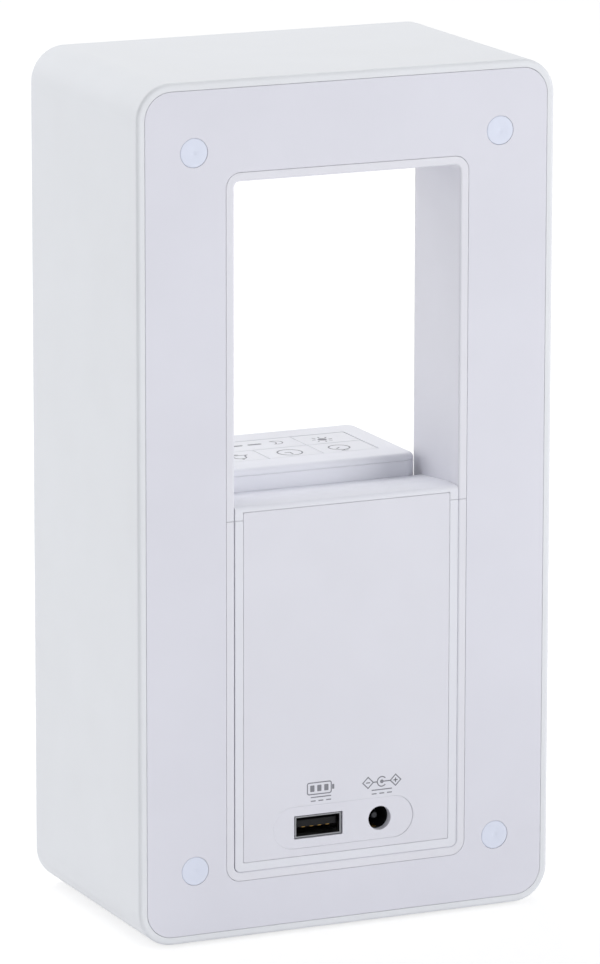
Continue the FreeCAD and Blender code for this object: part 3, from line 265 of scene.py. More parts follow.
LEAN_GAIN = 3.0


def make_edge_group():
    """Softened edges: the bevelled normal, and how far it leans away from the face's own normal, as 1 less
    their dot product, times a gain. That lean is also the mask of the painted highlight along edges."""
    group, takes, gives = new_group(
        "soft_edge",
        [("Radius mm", 0.3)],
        [("Normal", "NodeSocketVector"), ("Edge", "NodeSocketFloat")])
    bevel = group.nodes.new("ShaderNodeBevel")
    bevel.samples = 4
    group.links.new(calc(group, "MULTIPLY", takes.outputs["Radius mm"], MM), bevel.inputs["Radius"])
    shape = group.nodes.new("ShaderNodeNewGeometry")
    dot = group.nodes.new("ShaderNodeVectorMath")
    dot.operation = "DOT_PRODUCT"
    group.links.new(bevel.outputs[0], dot.inputs[0])
    group.links.new(shape.outputs["Normal"], dot.inputs[1])
    lean = calc(group, "SUBTRACT", 1.0, dot.outputs["Value"])
    group.links.new(calc(group, "MULTIPLY", lean, LEAN_GAIN, clamp=True), gives.inputs["Edge"])
    group.links.new(bevel.outputs[0], gives.inputs["Normal"])
    return group


def make_streak_group():
    """Drawn or brushed metal: noise of the given line width, whose coordinates are multiplied along each axis
    by that axis's draw, so that a small draw makes long streaks that way."""
    group, takes, gives = new_group(
        "drawn_streaks",
        [("Line mm", 0.2), ("Draw X", 1.0), ("Draw Y", 1.0), ("Draw Z", 1.0)],
        [("Streak", "NodeSocketFloat")])
    draw = group.nodes.new("ShaderNodeCombineXYZ")
    for axis in "XYZ":
        group.links.new(takes.outputs["Draw " + axis], draw.inputs[axis])
    pulled = group.nodes.new("ShaderNodeVectorMath")
    pulled.operation = "MULTIPLY"
    group.links.new(place_socket(group), pulled.inputs[0])
    group.links.new(draw.outputs[0], pulled.inputs[1])
    lines = noise(group, pulled.outputs[0], per_metre(group, takes.outputs["Line mm"]), *FINE_NOISE)
    group.links.new(lines, gives.inputs["Streak"])
    return group


TRACK_SHARE = 0.36
TRACK_CHANCE = 0.28


def make_track_group():
    """Copper tracks under a board's lacquer: lines across or up, each a share of their pitch wide, by chance
    in each square of a grid, with some squares left empty. Up is y plus z, so that level and upright boards
    both show it."""
    group, takes, gives = new_group(
        "board_tracks",
        [("Pitch mm", 0.8), ("Square mm", 3.2)],
        [("Track", "NodeSocketFloat")])
    place = split_place(group)
    across = place["X"]
    up = calc(group, "ADD", place["Y"], place["Z"])
    pitch = per_metre(group, takes.outputs["Pitch mm"])
    upright_lines, level_lines = [
        calc(group, "LESS_THAN", calc(group, "FRACT", calc(group, "MULTIPLY", way, pitch)), TRACK_SHARE)
        for way in (across, up)]
    square = per_metre(group, takes.outputs["Square mm"])
    cell = group.nodes.new("ShaderNodeCombineXYZ")
    group.links.new(calc(group, "FLOOR", calc(group, "MULTIPLY", across, square)), cell.inputs["X"])
    group.links.new(calc(group, "FLOOR", calc(group, "MULTIPLY", up, square)), cell.inputs["Y"])
    white_noise = group.nodes.new("ShaderNodeTexWhiteNoise")
    group.links.new(cell.outputs[0], white_noise.inputs["Vector"])
    chance = white_noise.outputs["Value"]
    high = calc(group, "GREATER_THAN", chance, 1.0 - TRACK_CHANCE)
    low = calc(group, "LESS_THAN", chance, TRACK_CHANCE)
    track = calc(group, "ADD", calc(group, "MULTIPLY", high, upright_lines),
                 calc(group, "MULTIPLY", low, level_lines), clamp=True)
    group.links.new(track, gives.inputs["Track"])
    return group


GRAIN = make_grain_group()
EDGE = make_edge_group()
STREAK = make_streak_group()
TRACK = make_track_group()


# Parts of a material

def use_group(tree, group, **values):
    """A group placed in a material. An underscore stands for the space in a socket's name."""
    node = tree.nodes.new("ShaderNodeGroup")
    node.node_tree = group
    for name, value in values.items():
        node.inputs[name.replace("_", " ")].default_value = value
    return node


def blank_material(name):
    """A material with only its Principled shader and output."""
    mat = bpy.data.materials.get(name) or bpy.data.materials.new(name)
    mat.use_nodes = True
    tree = mat.node_tree
    tree.nodes.clear()
    shader = tree.nodes.new("ShaderNodeBsdfPrincipled")
    out = tree.nodes.new("ShaderNodeOutputMaterial")
    tree.links.new(shader.outputs[0], out.inputs["Surface"])
    return tree, shader


def tone(red, green, blue):
    """Display values from 0 to 255, as the linear colour that shows them: a straight line near black and a
    power above it."""
    shares = [value / 255.0 for value in (red, green, blue)]
    return tuple(s / 12.92 if s <= 0.04045 else ((s + 0.055) / 1.055) ** 2.4 for s in shares)


def shade(colour, by):
    """The colour times a factor, at most white."""
    return tuple(min(1.0, value * by) for value in colour)


# The parts of 0 to 1 over which noise, specks, hair scratches and a rib's height take effect
NOISE_RANGE = (0.3, 0.7)
SPECK_RANGE = (0.1, 0.5)
SCRATCH_RANGE = (0.4, 0.75)
RIB_RANGE = (0.15, 0.75)
FULL_RANGE = (0.0, 1.0)


def ramp(tree, value, value_range, low_colour, high_colour):
    """A colour that goes from low to high as the value crosses its range."""
    node = tree.nodes.new("ShaderNodeValToRGB")
    for element, spot, colour in zip(node.color_ramp.elements, value_range, (low_colour, high_colour)):
        element.position = spot
        element.color = (*colour, 1.0)
    tree.links.new(value, node.inputs["Fac"])
    return node.outputs["Color"]


def mottled(tree, surface, low_colour, high_colour):
    """The two colours, blended by the grain group's slow mottle."""
    return ramp(tree, surface.outputs["Mottle"], NOISE_RANGE, low_colour, high_colour)


def scaled(tree, value, value_range, low, high):
    """The value's range, stretched to low to high."""
    node = tree.nodes.new("ShaderNodeMapRange")
    node.inputs["From Min"].default_value = value_range[0]
    node.inputs["From Max"].default_value = value_range[1]
    node.inputs["To Min"].default_value = low
    node.inputs["To Max"].default_value = high
    tree.links.new(value, node.inputs["Value"])
    return node.outputs["Result"]


def set_gloss(tree, shader, value, value_range, low, high):
    """Roughness from low to high as the value crosses its range."""
    tree.links.new(scaled(tree, value, value_range, low, high), shader.inputs["Roughness"])


def blended(tree, amount, first, second):
    """A colour mix. The first colour is a socket, and the second a socket or three numbers."""
    node = tree.nodes.new("ShaderNodeMix")
    node.data_type = "RGBA"
    tree.links.new(amount, node.inputs["Factor"])
    first_in, second_in = [socket for socket in node.inputs if socket.type == "RGBA"]
    tree.links.new(first, first_in)
    if isinstance(second, tuple):
        second_in.default_value = (*second, 1.0)
    else:
        tree.links.new(second, second_in)
    return [socket for socket in node.outputs if socket.type == "RGBA"][0]


def bumped(tree, shader, height, depth_mm, normal=None):
    """Height through a Bump node of the given depth into the shader's normal."""
    node = tree.nodes.new("ShaderNodeBump")
    node.inputs["Strength"].default_value = 1.0
    node.inputs["Distance"].default_value = depth_mm * MM
    tree.links.new(height, node.inputs["Height"])
    if normal is not None:
        tree.links.new(normal, node.inputs["Normal"])
    tree.links.new(node.outputs[0], shader.inputs["Normal"])


# Kinds of material. Edges get a painted highlight, a colour lighter than the rest by a factor, and clouded
# metal is darker.

EDGE_HIGHLIGHT_SHARE = 0.5
EDGE_HIGHLIGHT_LIGHTER = 1.06
METAL_EDGE_HIGHLIGHT_LIGHTER = 1.2
CLOUDED_DARKER = 0.84


def moulded(name, colour, rough, grain, depth, spread=0.03, edge=0.3, coat=0.0):
    """Moulded plastic: grain in the bump, a slow mottle in colour, specks in gloss, and edges that catch
    light through the bevelled normal and a painted highlight, a lighter colour along them. Grain, bump depth
    and edge radius are in mm."""
    tree, shader = blank_material(name)
    surface = use_group(tree, GRAIN, Grain_mm=grain)
    rim = use_group(tree, EDGE, Radius_mm=edge)
    body = mottled(tree, surface, shade(colour, 1.0 - spread), colour)
    # Painted highlight: the colour is lightened along the edges, where the bevelled normal leans.
    painted_edge_highlight = calc(tree, "MULTIPLY", rim.outputs["Edge"], EDGE_HIGHLIGHT_SHARE)
    tree.links.new(blended(tree, painted_edge_highlight, body, shade(colour, EDGE_HIGHLIGHT_LIGHTER)), shader.inputs["Base Color"])
    set_gloss(tree, shader, surface.outputs["Speck"], SPECK_RANGE, rough - 0.06, rough + 0.08)
    shader.inputs["Coat Weight"].default_value = coat
    bumped(tree, shader, surface.outputs["Height"], depth, rim.outputs["Normal"])
    return shader


def metal(name, colour, rough, line, draw=(1.0, 1.0, 1.0), depth=0.002, edge=0.15):
    """Metal: streaks in gloss and bump, a slow cloudiness in colour, and a painted highlight, a lighter
    colour along the edges.
    """
    tree, shader = blank_material(name)
    streaks = use_group(tree, STREAK, Line_mm=line, Draw_X=draw[0], Draw_Y=draw[1], Draw_Z=draw[2])
    surface = use_group(tree, GRAIN, Grain_mm=line, Mottle_mm=7.0)
    rim = use_group(tree, EDGE, Radius_mm=edge)
    body = mottled(tree, surface, shade(colour, CLOUDED_DARKER), colour)
    # Painted highlight: the colour is lightened along the edges, where the bevelled normal leans.
    painted_metal_highlight = shade(colour, METAL_EDGE_HIGHLIGHT_LIGHTER)
    tree.links.new(blended(tree, rim.outputs["Edge"], body, painted_metal_highlight), shader.inputs["Base Color"])
    set_gloss(tree, shader, streaks.outputs["Streak"], NOISE_RANGE, rough - 0.1, rough + 0.12)
    shader.inputs["Metallic"].default_value = 1.0
    bumped(tree, shader, streaks.outputs["Streak"], depth, rim.outputs["Normal"])


def lacquered_board(name, colour, track_colour):
    """A printed board: tracks a little lighter and higher than the lacquer round them."""
    tree, shader = blank_material(name)
    surface = use_group(tree, GRAIN, Grain_mm=0.3, Mottle_mm=12.0)
    rim = use_group(tree, EDGE, Radius_mm=0.1)
    track = use_group(tree, TRACK).outputs["Track"]
    lacquer = mottled(tree, surface, shade(colour, 0.88), colour)
    tree.links.new(blended(tree, track, lacquer, track_colour), shader.inputs["Base Color"])
    set_gloss(tree, shader, surface.outputs["Speck"], SPECK_RANGE, 0.26, 0.42)
    bumped(tree, shader, track, 0.03, rim.outputs["Normal"])


def wave(tree, axis, pitch_mm):
    """A sine of one object coordinate, 0 to 1, that repeats every pitch."""
    turns = calc(tree, "MULTIPLY", split_place(tree)[axis], 2.0 * math.pi / (pitch_mm * MM))
    return calc(tree, "MULTIPLY_ADD", calc(tree, "SINE", turns), 0.5, 0.5)


def ribbed(name, colour, low_colour, height, rough, depth):
    """A material drawn by one height, whose low places take the second, darker colour as painted shade in the
    grooves. Specks let a mottle of both colours show through."""
    tree, shader = blank_material(name)
    surface = use_group(tree, GRAIN, Grain_mm=0.2, Mottle_mm=9.0)
    drawn = height(tree)
    # Painted shade: the height's low places take the darker second colour.
    groove_shaded_tint = ramp(tree, drawn, RIB_RANGE, low_colour, colour)
    soft = mottled(tree, surface, shade(low_colour, 0.9), colour)
    speck = scaled(tree, surface.outputs["Speck"], FULL_RANGE, 0.15, 0.5)
    tree.links.new(blended(tree, speck, groove_shaded_tint, soft), shader.inputs["Base Color"])
    set_gloss(tree, shader, surface.outputs["Height"], NOISE_RANGE, rough - 0.06, rough + 0.06)
    bumped(tree, shader, drawn, depth)
    return shader


WIRE_PITCH = 0.3
THREAD_PITCH = 0.7
CORE_PITCH = 1.0
SIDEWAYS_RIBBON_FROM = 16.0


def wound_height(tree):
    """Wire wound round the coil's axis: a wave along y."""
    return wave(tree, "Y", WIRE_PITCH)


def woven_height(tree):
    """Cloth: threads that pass over and under, as the product of two waves, each across its own threads."""
    return calc(tree, "MULTIPLY", wave(tree, "X", THREAD_PITCH), wave(tree, "Z", THREAD_PITCH))


def ribbon_height(tree):
    """Wires side by side: waves across x, and across z on the ribbon that runs sideways to the light."""
    level = wave(tree, "X", CORE_PITCH)
    sideways = calc(tree, "GREATER_THAN", split_place(tree)["X"], SIDEWAYS_RIBBON_FROM * MM)
    step = calc(tree, "SUBTRACT", wave(tree, "Z", CORE_PITCH), level)
    return calc(tree, "MULTIPLY_ADD", step, sideways, level)


def pulp_height(tree):
    """Pressed paper: short fibres that lie both ways."""
    flat = use_group(tree, STREAK, Line_mm=0.25, Draw_X=0.3)
    tall = use_group(tree, STREAK, Line_mm=0.25, Draw_Z=0.3)
    return calc(tree, "MAXIMUM", flat.outputs["Streak"], tall.outputs["Streak"])


def opal(name, colour):
    """Milky plastic, which takes light in and lets it out nearby."""
    tree, shader = blank_material(name)
    surface = use_group(tree, GRAIN, Grain_mm=0.6, Mottle_mm=30.0)
    rim = use_group(tree, EDGE, Radius_mm=0.3)
    tree.links.new(mottled(tree, surface, shade(colour, 0.98), colour), shader.inputs["Base Color"])
    set_gloss(tree, shader, surface.outputs["Speck"], SPECK_RANGE, 0.3, 0.42)
    shader.inputs["Subsurface Weight"].default_value = 0.25
    shader.inputs["Subsurface Radius"].default_value = (1.0, 0.95, 0.9)
    shader.inputs["Subsurface Scale"].default_value = 3.0 * MM
    bumped(tree, shader, surface.outputs["Height"], 0.004, rim.outputs["Normal"])


def polished(name, colour):
    """Dark clear plastic over black: a hard gloss with hair scratches."""
    tree, shader = blank_material(name)
    scratches = use_group(tree, STREAK, Line_mm=0.12, Draw_X=0.05)
    surface = use_group(tree, GRAIN, Grain_mm=0.8)
    rim = use_group(tree, EDGE, Radius_mm=0.2)
    tree.links.new(mottled(tree, surface, shade(colour, 0.85), colour), shader.inputs["Base Color"])
    set_gloss(tree, shader, scratches.outputs["Streak"], SCRATCH_RANGE, 0.04, 0.16)
    shader.inputs["Specular IOR Level"].default_value = 0.3
    shader.inputs["Coat Weight"].default_value = 0.15
    shader.inputs["Coat Roughness"].default_value = 0.03
    bumped(tree, shader, surface.outputs["Height"], 0.001, rim.outputs["Normal"])


def glowing(name, colour, power):
    """A lit mark: its own colour, and the same colour given out, a little uneven."""
    shader = moulded(name, colour, 0.4, 0.3, 0.001, 0.05, 0.02)
    tree = shader.id_data
    surface = use_group(tree, GRAIN, Grain_mm=0.5, Mottle_mm=6.0)
    tree.links.new(mottled(tree, surface, shade(colour, 0.9), colour), shader.inputs["Emission Color"])
    shader.inputs["Emission Strength"].default_value = power


# Finishes, by the record's material slots and the two inks

def make_mouldings():
    """The white and black plastics, rubbers and inks. After the tone come the roughness, the grain and its
    depth, and where they aren't the usual ones the colour's spread, the edge's radius and the coat."""
    moulded("shell_white", tone(234, 236, 240), 0.42, 0.5, 0.006)
    moulded("cover_white", tone(228, 228, 237), 0.5, 0.35, 0.012)
    moulded("plug_white", tone(227, 232, 247), 0.45, 0.6, 0.003)
    moulded("liner_white", tone(232, 232, 239), 0.45, 0.45, 0.006)
    moulded("module_white", tone(233, 234, 241), 0.48, 0.4, 0.008)
    moulded("panel_white", tone(229, 229, 237), 0.5, 0.35, 0.012)
    moulded("key_white", tone(233, 234, 240), 0.5, 0.35, 0.008)
    moulded("grille_white", tone(232, 233, 239), 0.5, 0.35, 0.01)
    moulded("reflector_white", tone(244, 244, 242), 0.6, 0.6, 0.006)
    moulded("plunger_white", tone(226, 224, 218), 0.45, 0.5, 0.004)
    moulded("foot_rubber", tone(66, 66, 68), 0.85, 0.5, 0.03, 0.15)
    moulded("surround_rubber", tone(40, 40, 41), 0.75, 0.5, 0.02, 0.15)
    moulded("part_black", tone(38, 38, 41), 0.5, 0.4, 0.008, 0.2)
    socket = moulded("socket_black", tone(20, 20, 22), 0.6, 0.4, 0.006, 0.2)
    socket.inputs["Specular IOR Level"].default_value = 0.25
    moulded("connector_cream", tone(235, 228, 206), 0.45, 0.5, 0.005)
    moulded("lead_red", tone(176, 30, 26), 0.35, 0.8, 0.004, 0.06, 0.1, 0.2)
    moulded("led_yellow", tone(243, 224, 128), 0.3, 0.12, 0.02, 0.12, 0.1, 0.3)
    moulded("ink_grey", tone(136, 137, 144), 0.6, 0.2, 0.002, 0.1, 0.02)
    ferrite = moulded("ferrite", tone(70, 70, 74), 0.6, 0.8, 0.03, 0.25)
    ferrite.inputs["Metallic"].default_value = 0.3


def make_boards_and_lights():
    """The lacquered boards, the opal funnel, the display's lens and its lit digits."""
    lacquered_board("board_white", tone(240, 241, 240), tone(228, 230, 229))
    lacquered_board("board_green", tone(20, 92, 56), tone(44, 128, 78))
    opal("opal_plastic", tone(242, 241, 238))
    polished("lens_dark", tone(26, 26, 29))
    glowing("digit_glow", tone(226, 234, 244), 0.5)


def make_metals():
    """After the tone come the roughness, the streaks' width in mm and the way that they are drawn."""
    metal("screw_steel", tone(196, 198, 202), 0.32, 0.1)
    metal("socket_steel", tone(158, 160, 164), 0.34, 0.08, (1.0, 0.06, 1.0))
    metal("battery_steel", tone(214, 215, 217), 0.3, 0.1, (0.05, 1.0, 1.0))
    metal("basket_steel", tone(150, 151, 154), 0.45, 0.5, depth=0.01, edge=0.3)
    metal("contact_brass", tone(186, 150, 86), 0.34, 0.08, (1.0, 0.1, 1.0))
    metal("pin_nickel", tone(74, 75, 78), 0.5, 0.12, (1.0, 0.1, 1.0))


def make_wound_and_woven():
    """The winding, the ribbon, the cloth and the paper, each with its own lines."""
    # Each second tone is the painted shade in the low places of its lines.
    coil = ribbed("coil_brass", tone(214, 140, 84), tone(110, 56, 30), wound_height, 0.35, 0.05)
    coil.inputs["Metallic"].default_value = 1.0
    ribbed("ribbon_grey", tone(214, 214, 218), tone(176, 176, 182), ribbon_height, 0.45, 0.06)
    ribbed("spider_cloth", tone(206, 166, 102), tone(132, 96, 50), woven_height, 0.8, 0.08)
    ribbed("cone_paper", tone(62, 62, 66), tone(36, 36, 39), pulp_height, 0.85, 0.06)


# Meshes

def grid_faces(rows, columns, wrap_rows=False, wrap_columns=False):
    """The quads between neighbouring points of a grid, closed round where a direction wraps."""
    i, j = np.meshgrid(np.arange(rows if wrap_rows else rows - 1),
                       np.arange(columns if wrap_columns else columns - 1), indexing="ij")
    down = (i + 1) % rows
    right = (j + 1) % columns
    return np.stack([i * columns + j, i * columns + right, down * columns + right, down * columns + j],
                    axis=-1).reshape(-1, 4)


def facing_out(points, faces):
    """The faces turned so that the closed mesh's signed volume, summed over corner fans, is positive."""
    a, b, c, d = (points[faces[:, k]] for k in range(4))
    volume = np.einsum("ij,ij->i", a, np.cross(b, c)) + np.einsum("ij,ij->i", a, np.cross(c, d))
    return faces if volume.sum() > 0 else faces[:, ::-1]


def merge_points(source, mesh):
    """The source mesh, written to the other with its coinciding points merged, which closes its poles."""
    work = bmesh.new()
    work.from_mesh(source)
    bmesh.ops.remove_doubles(work, verts=work.verts, dist=MERGE * MM)
    work.to_mesh(mesh)
    work.free()


def placed(name, mesh, body, finish):
    """An object of the mesh with one finish, riding on a body, or on none where no body is given.
    Where the record has the finish as a material slot, the object takes that slot."""
    mesh.materials.append(bpy.data.materials[finish])
    made = bpy.data.objects.new(name, mesh)
    bpy.context.scene.collection.objects.link(made)
    if body:
        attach(made, body)
    return made


def piece(name, parts, body, finish, smooth=False):
    """One object from parts, each an array of points in mm and an array of quads."""
    points = []
    faces = []
    start = 0
    for part_points, part_faces in parts:
        points.append(part_points)
        faces.append(facing_out(part_points, part_faces) + start)
        start += len(part_points)
    mesh = bpy.data.meshes.new(name)
    mesh.from_pydata((np.concatenate(points) * MM).tolist(), [], np.concatenate(faces).tolist())
    merge_points(mesh, mesh)
    mesh.polygons.foreach_set("use_smooth", np.full(len(mesh.polygons), smooth))
    return placed(name, mesh, body, finish)


# Drawing with ink. A drawn part has points of (right, up, height) over the surface, in mm.

INK_RISE = 0.012
INK_SINK = 0.02
KEY_LINE = 0.42
PORT_LINE = 0.3
LEAST_CORNER = 0.4


def printed_line(path, width, closed=False):
    """A line of ink: a flat box section of the given width carried along a path of (right, up) points. The
    sideways step is the mean of the neighbouring runs' normals, lengthened at corners so the width holds."""
    path = np.array(path, float)
    if closed:
        before = path - np.roll(path, 1, axis=0)
        after = np.roll(path, -1, axis=0) - path
    else:
        runs = np.diff(path, axis=0)
        before = np.vstack([runs[:1], runs])
        after = np.vstack([runs, runs[-1:]])
    before /= np.linalg.norm(before, axis=1, keepdims=True)
    after /= np.linalg.norm(after, axis=1, keepdims=True)
    side = np.stack([-(before + after)[:, 1], (before + after)[:, 0]], axis=1)
    side /= np.linalg.norm(side, axis=1, keepdims=True)
    normal = np.stack([-after[:, 1], after[:, 0]], axis=1)
    corner = np.maximum(np.einsum("ij,ij->i", side, normal), LEAST_CORNER)
    step = side * (width / 2.0 / corner)[:, None]
    low = np.full((len(path), 1), -INK_SINK)
    high = np.full((len(path), 1), INK_RISE)
    section = [(path + step, low), (path - step, low), (path - step, high), (path + step, high)]
    points = np.stack([np.hstack(edge) for edge in section], axis=1).reshape(-1, 3)
    faces = grid_faces(len(path), 4, closed, True)
    if not closed:
        last = 4 * (len(path) - 1)
        faces = np.vstack([faces, [[3, 2, 1, 0]], [[last, last + 1, last + 2, last + 3]]])
    return points, faces


def printed_patch(outline):
    """A filled mark: the outline of (right, up) points, drawn in to its middle point on both sides."""
    outline = np.array(outline, float)
    middle = np.broadcast_to(outline.mean(axis=0), outline.shape)
    levels = [(middle, -INK_SINK), (outline, -INK_SINK), (outline, INK_RISE), (middle, INK_RISE)]
    rings = [np.hstack([ring, np.full((len(ring), 1), level)]) for ring, level in levels]
    return np.vstack(rings), grid_faces(4, len(outline), False, True)


def arc(x, y, r, start, end, count):
    """Points round a circle from one angle to another, in degrees, anticlockwise from the right."""
    angle = np.radians(np.linspace(start, end, count))
    return np.stack([x + r * np.cos(angle), y + r * np.sin(angle)], axis=1)


def loop(x, y, r, count=32):
    """A whole circle, whose last point stops one step short of the first."""
    return arc(x, y, r, 0.0, 360.0 * (count - 1) / count, count)


def rounded_box(x, y, wide, high, r, count=6):
    """A rounded rectangle's outline: four quarter circles round its corners' centres."""
    quarters = ((1, -1, -90.0), (1, 1, 0.0), (-1, 1, 90.0), (-1, -1, 180.0))
    return np.vstack([arc(x + sx * (wide / 2.0 - r), y + sy * (high / 2.0 - r), r, turn, turn + 90.0, count)
                      for sx, sy, turn in quarters])


def laid(parts, origin, right, up):
    """Drawn parts, placed on a surface at origin with its two directions. Height is along their product."""
    right = np.array(right, float)
    up = np.array(up, float)
    axes = np.stack([right, up, np.cross(right, up)])
    return [(points @ axes + np.array(origin, float), faces) for points, faces in parts]


def shifted(parts, x, y):
    """Drawn parts, moved over the surface."""
    return [(points + np.array([x, y, 0.0]), faces) for points, faces in parts]


# Printed marks, all plain pictograms, each drawn round its own middle

def bell_mark():
    """A bell: straight sides that flare to the rim, a half circle on top, a knob and a clapper."""
    rim = 2.7
    waist = 1.9
    dome = arc(0.0, 0.5, 1.6, 0.0, 180.0, 17)
    outline = np.vstack([[(rim, -1.7), (waist, -0.9)], dome, [(-waist, -0.9), (-rim, -1.7)]])
    knob = printed_patch(loop(0.0, 2.7, 0.4))
    clapper = printed_patch(arc(0.0, -2.2, 0.7, 180.0, 360.0, 13))
    return [printed_line(outline, KEY_LINE, True), knob, clapper]


def clock_mark():
    """A ring with two hands."""
    ring = printed_line(loop(0.0, 0.0, 3.3), KEY_LINE, True)
    long_hand = printed_line([(0, -0.2), (0, 2.1)], KEY_LINE)
    short_hand = printed_line([(-0.2, 0), (1.5, 0)], KEY_LINE)
    return [ring, long_hand, short_hand]


def timer_mark():
    """A ring with one hand, and a stem with a button on top."""
    ring_middle = -0.4
    ring = printed_line(loop(0.0, ring_middle, 2.8), KEY_LINE, True)
    hand = printed_line([(0, ring_middle), (1.3, 0.9)], KEY_LINE)
    stem = printed_line([(0, 2.5), (0, 3.3)], KEY_LINE)
    button = printed_line([(-1.0, 3.4), (1.0, 3.4)], KEY_LINE)
    return [ring, hand, stem, button]


def sun_mark():
    """A disc with eight rays."""
    disc = printed_patch(loop(0.0, 0.0, 1.25))
    ways = np.radians(np.arange(0, 360, 45))
    rays = [printed_line([(r * math.cos(way), r * math.sin(way)) for r in (1.9, 2.9)], KEY_LINE)
            for way in ways]
    return [disc] + rays


def snooze_mark():
    """A crescent, whose inner edge is a second circle's arc between the same tips, and three bars."""
    outer_r = 1.9
    opening = 60.0
    outer = arc(-1.5, 0.0, outer_r, opening, 360.0 - opening, 25)
    inner_r = math.hypot(0.8, outer_r * math.sin(math.radians(opening)))
    inner_turn = 64.2
    inner = arc(0.25, 0.0, inner_r, 180.0 + inner_turn, 180.0 - inner_turn, 17)
    crescent = printed_line(np.vstack([outer, inner[1:-1]]), PORT_LINE, True)
    bars = [printed_patch(rounded_box(x, 0.0, 4.0, 1.1, 0.5)) for x in (4.6, 10.0, 15.4)]
    return [crescent] + bars


def steady_current_mark():
    """The common sign for direct current: a bar over three dashes."""
    bar = printed_line([(-2.9, 0.5), (2.9, 0.5)], PORT_LINE)
    dashes = [printed_line([(x - 0.7, -0.5), (x + 0.7, -0.5)], PORT_LINE) for x in (-2.2, 0.0, 2.2)]
    return [bar] + dashes


def cell_mark():
    """A cell: an outline, its terminal and three charge bars."""
    middle = -0.45
    outline = printed_line(rounded_box(middle, 0.0, 6.8, 3.1, 0.5), PORT_LINE, True)
    terminal = printed_patch(rounded_box(3.5, 0.0, 0.6, 1.3, 0.1))
    bars = [printed_patch(rounded_box(middle + x, 0.0, 1.2, 1.7, 0.15)) for x in (-2.0, 0.0, 2.0)]
    return [outline, terminal] + bars


def polarity_mark():
    """Minus and plus in diamonds, tied to the sleeve, an open ring, and the pin, a dot, between them."""
    gap = 3.95
    reach = 1.5
    half_bar = 0.6
    ring_r = 1.3
    diamond = np.array([(reach, 0.0), (0.0, reach), (-reach, 0.0), (0.0, -reach)])
    parts = [printed_line(diamond + (side * gap, 0.0), PORT_LINE, True) for side in (-1, 1)]
    parts += [printed_line([(side * gap - half_bar, 0.0), (side * gap + half_bar, 0.0)], PORT_LINE)
              for side in (-1, 1)]
    parts.append(printed_line([(gap, -half_bar), (gap, half_bar)], PORT_LINE))
    parts.append(printed_line(arc(0.0, 0.0, ring_r, 40.0, 320.0, 25), PORT_LINE))
    parts.append(printed_patch(loop(0.0, 0.0, 0.5)))
    parts.append(printed_line([(reach - gap, 0.0), (-ring_r, 0.0)], PORT_LINE))
    parts.append(printed_line([(0.4, 0.0), (gap - reach, 0.0)], PORT_LINE))
    return parts


# A numeral's bars: each one's place from the middle, in half widths and half heights, and if it stands
SEGMENTS = {
    "top": (0, 1, False),
    "middle": (0, 0, False),
    "bottom": (0, -1, False),
    "left_up": (-1, 0.5, True),
    "left_down": (-1, -0.5, True),
    "right_up": (1, 0.5, True),
    "right_down": (1, -0.5, True),
}
DIGITS = {
    "0": ("top", "bottom", "left_up", "left_down", "right_up", "right_down"),
    "3": ("top", "middle", "bottom", "right_up", "right_down"),
    "7": ("top", "right_up", "right_down"),
}
DIGIT_HALF_WIDE = 2.5
DIGIT_HALF_HIGH = 5.0
BAR_HALF = 0.5
BAR_GAP = 0.15


def digit_mark(digit):
    """A numeral of pointed bars. Each bar is a hexagon, level or upright, on one side of a box."""
    parts = []
    for name in DIGITS[digit]:
        x, y, standing = SEGMENTS[name]
        reach = (DIGIT_HALF_HIGH / 2.0 if standing else DIGIT_HALF_WIDE) - BAR_GAP
        shoulder = reach - BAR_HALF
        bar = np.array([(-reach, 0), (-shoulder, -BAR_HALF), (shoulder, -BAR_HALF), (reach, 0),
                        (shoulder, BAR_HALF), (-shoulder, BAR_HALF)])
        if standing:
            bar = bar[:, ::-1] * (1, -1)
        parts.append(printed_patch(bar + (x * DIGIT_HALF_WIDE, y * DIGIT_HALF_HIGH)))
    return parts


# Places of the marks: columns and rows on the keys from the block's middle, then on the rear panel, to the
# right seen from behind and up from the shell's foot, and the display's digits from the lens's middle
KEY_COLUMN = 14.4
REAR_ROW = -0.5
FRONT_ROW = -11.6
WIDE_KEY_ROW = -13.0
USB_MARKS_X = -7.3
INLET_MARKS_X = 10.15
CURRENT_HEIGHT = 34.7
CELL_HEIGHT = 37.55
POLARITY_HEIGHT = 37.35
DIGIT_COLUMNS = {-13.6: "0", -6.0: "7", 6.0: "3", 13.6: "0"}
COLON_RISE = 2.2
COLON_R = 0.65


def make_key_marks():
    """The mark on each key rides with it."""
    marks = {
        "alarm": (bell_mark(), KEY_COLUMN, REAR_ROW),
        "clock": (clock_mark(), 0.0, REAR_ROW),
        "timer": (timer_mark(), -KEY_COLUMN, REAR_ROW),
        "light": (sun_mark(), -KEY_COLUMN, FRONT_ROW),
        "snooze": (snooze_mark(), 0.0, WIDE_KEY_ROW),
    }
    for key, (parts, x, y) in marks.items():
        piece(key + "_mark", laid(parts, (x, y, KEY_TOP), (1, 0, 0), (0, 1, 0)), key + "_key", "ink_grey")


def make_socket_marks():
    """The marks over the USB socket and over the inlet, which stay with the lamp."""
    usb = shifted(cell_mark(), USB_MARKS_X, CELL_HEIGHT)
    usb += shifted(steady_current_mark(), USB_MARKS_X, CURRENT_HEIGHT)
    inlet = shifted(polarity_mark(), INLET_MARKS_X, POLARITY_HEIGHT)
    inlet += shifted(steady_current_mark(), INLET_MARKS_X, CURRENT_HEIGHT)
    piece("socket_marks", laid(usb + inlet, (0, BACK, FOOT), (-1, 0, 0), (0, 0, 1)), "lamp", "ink_grey")


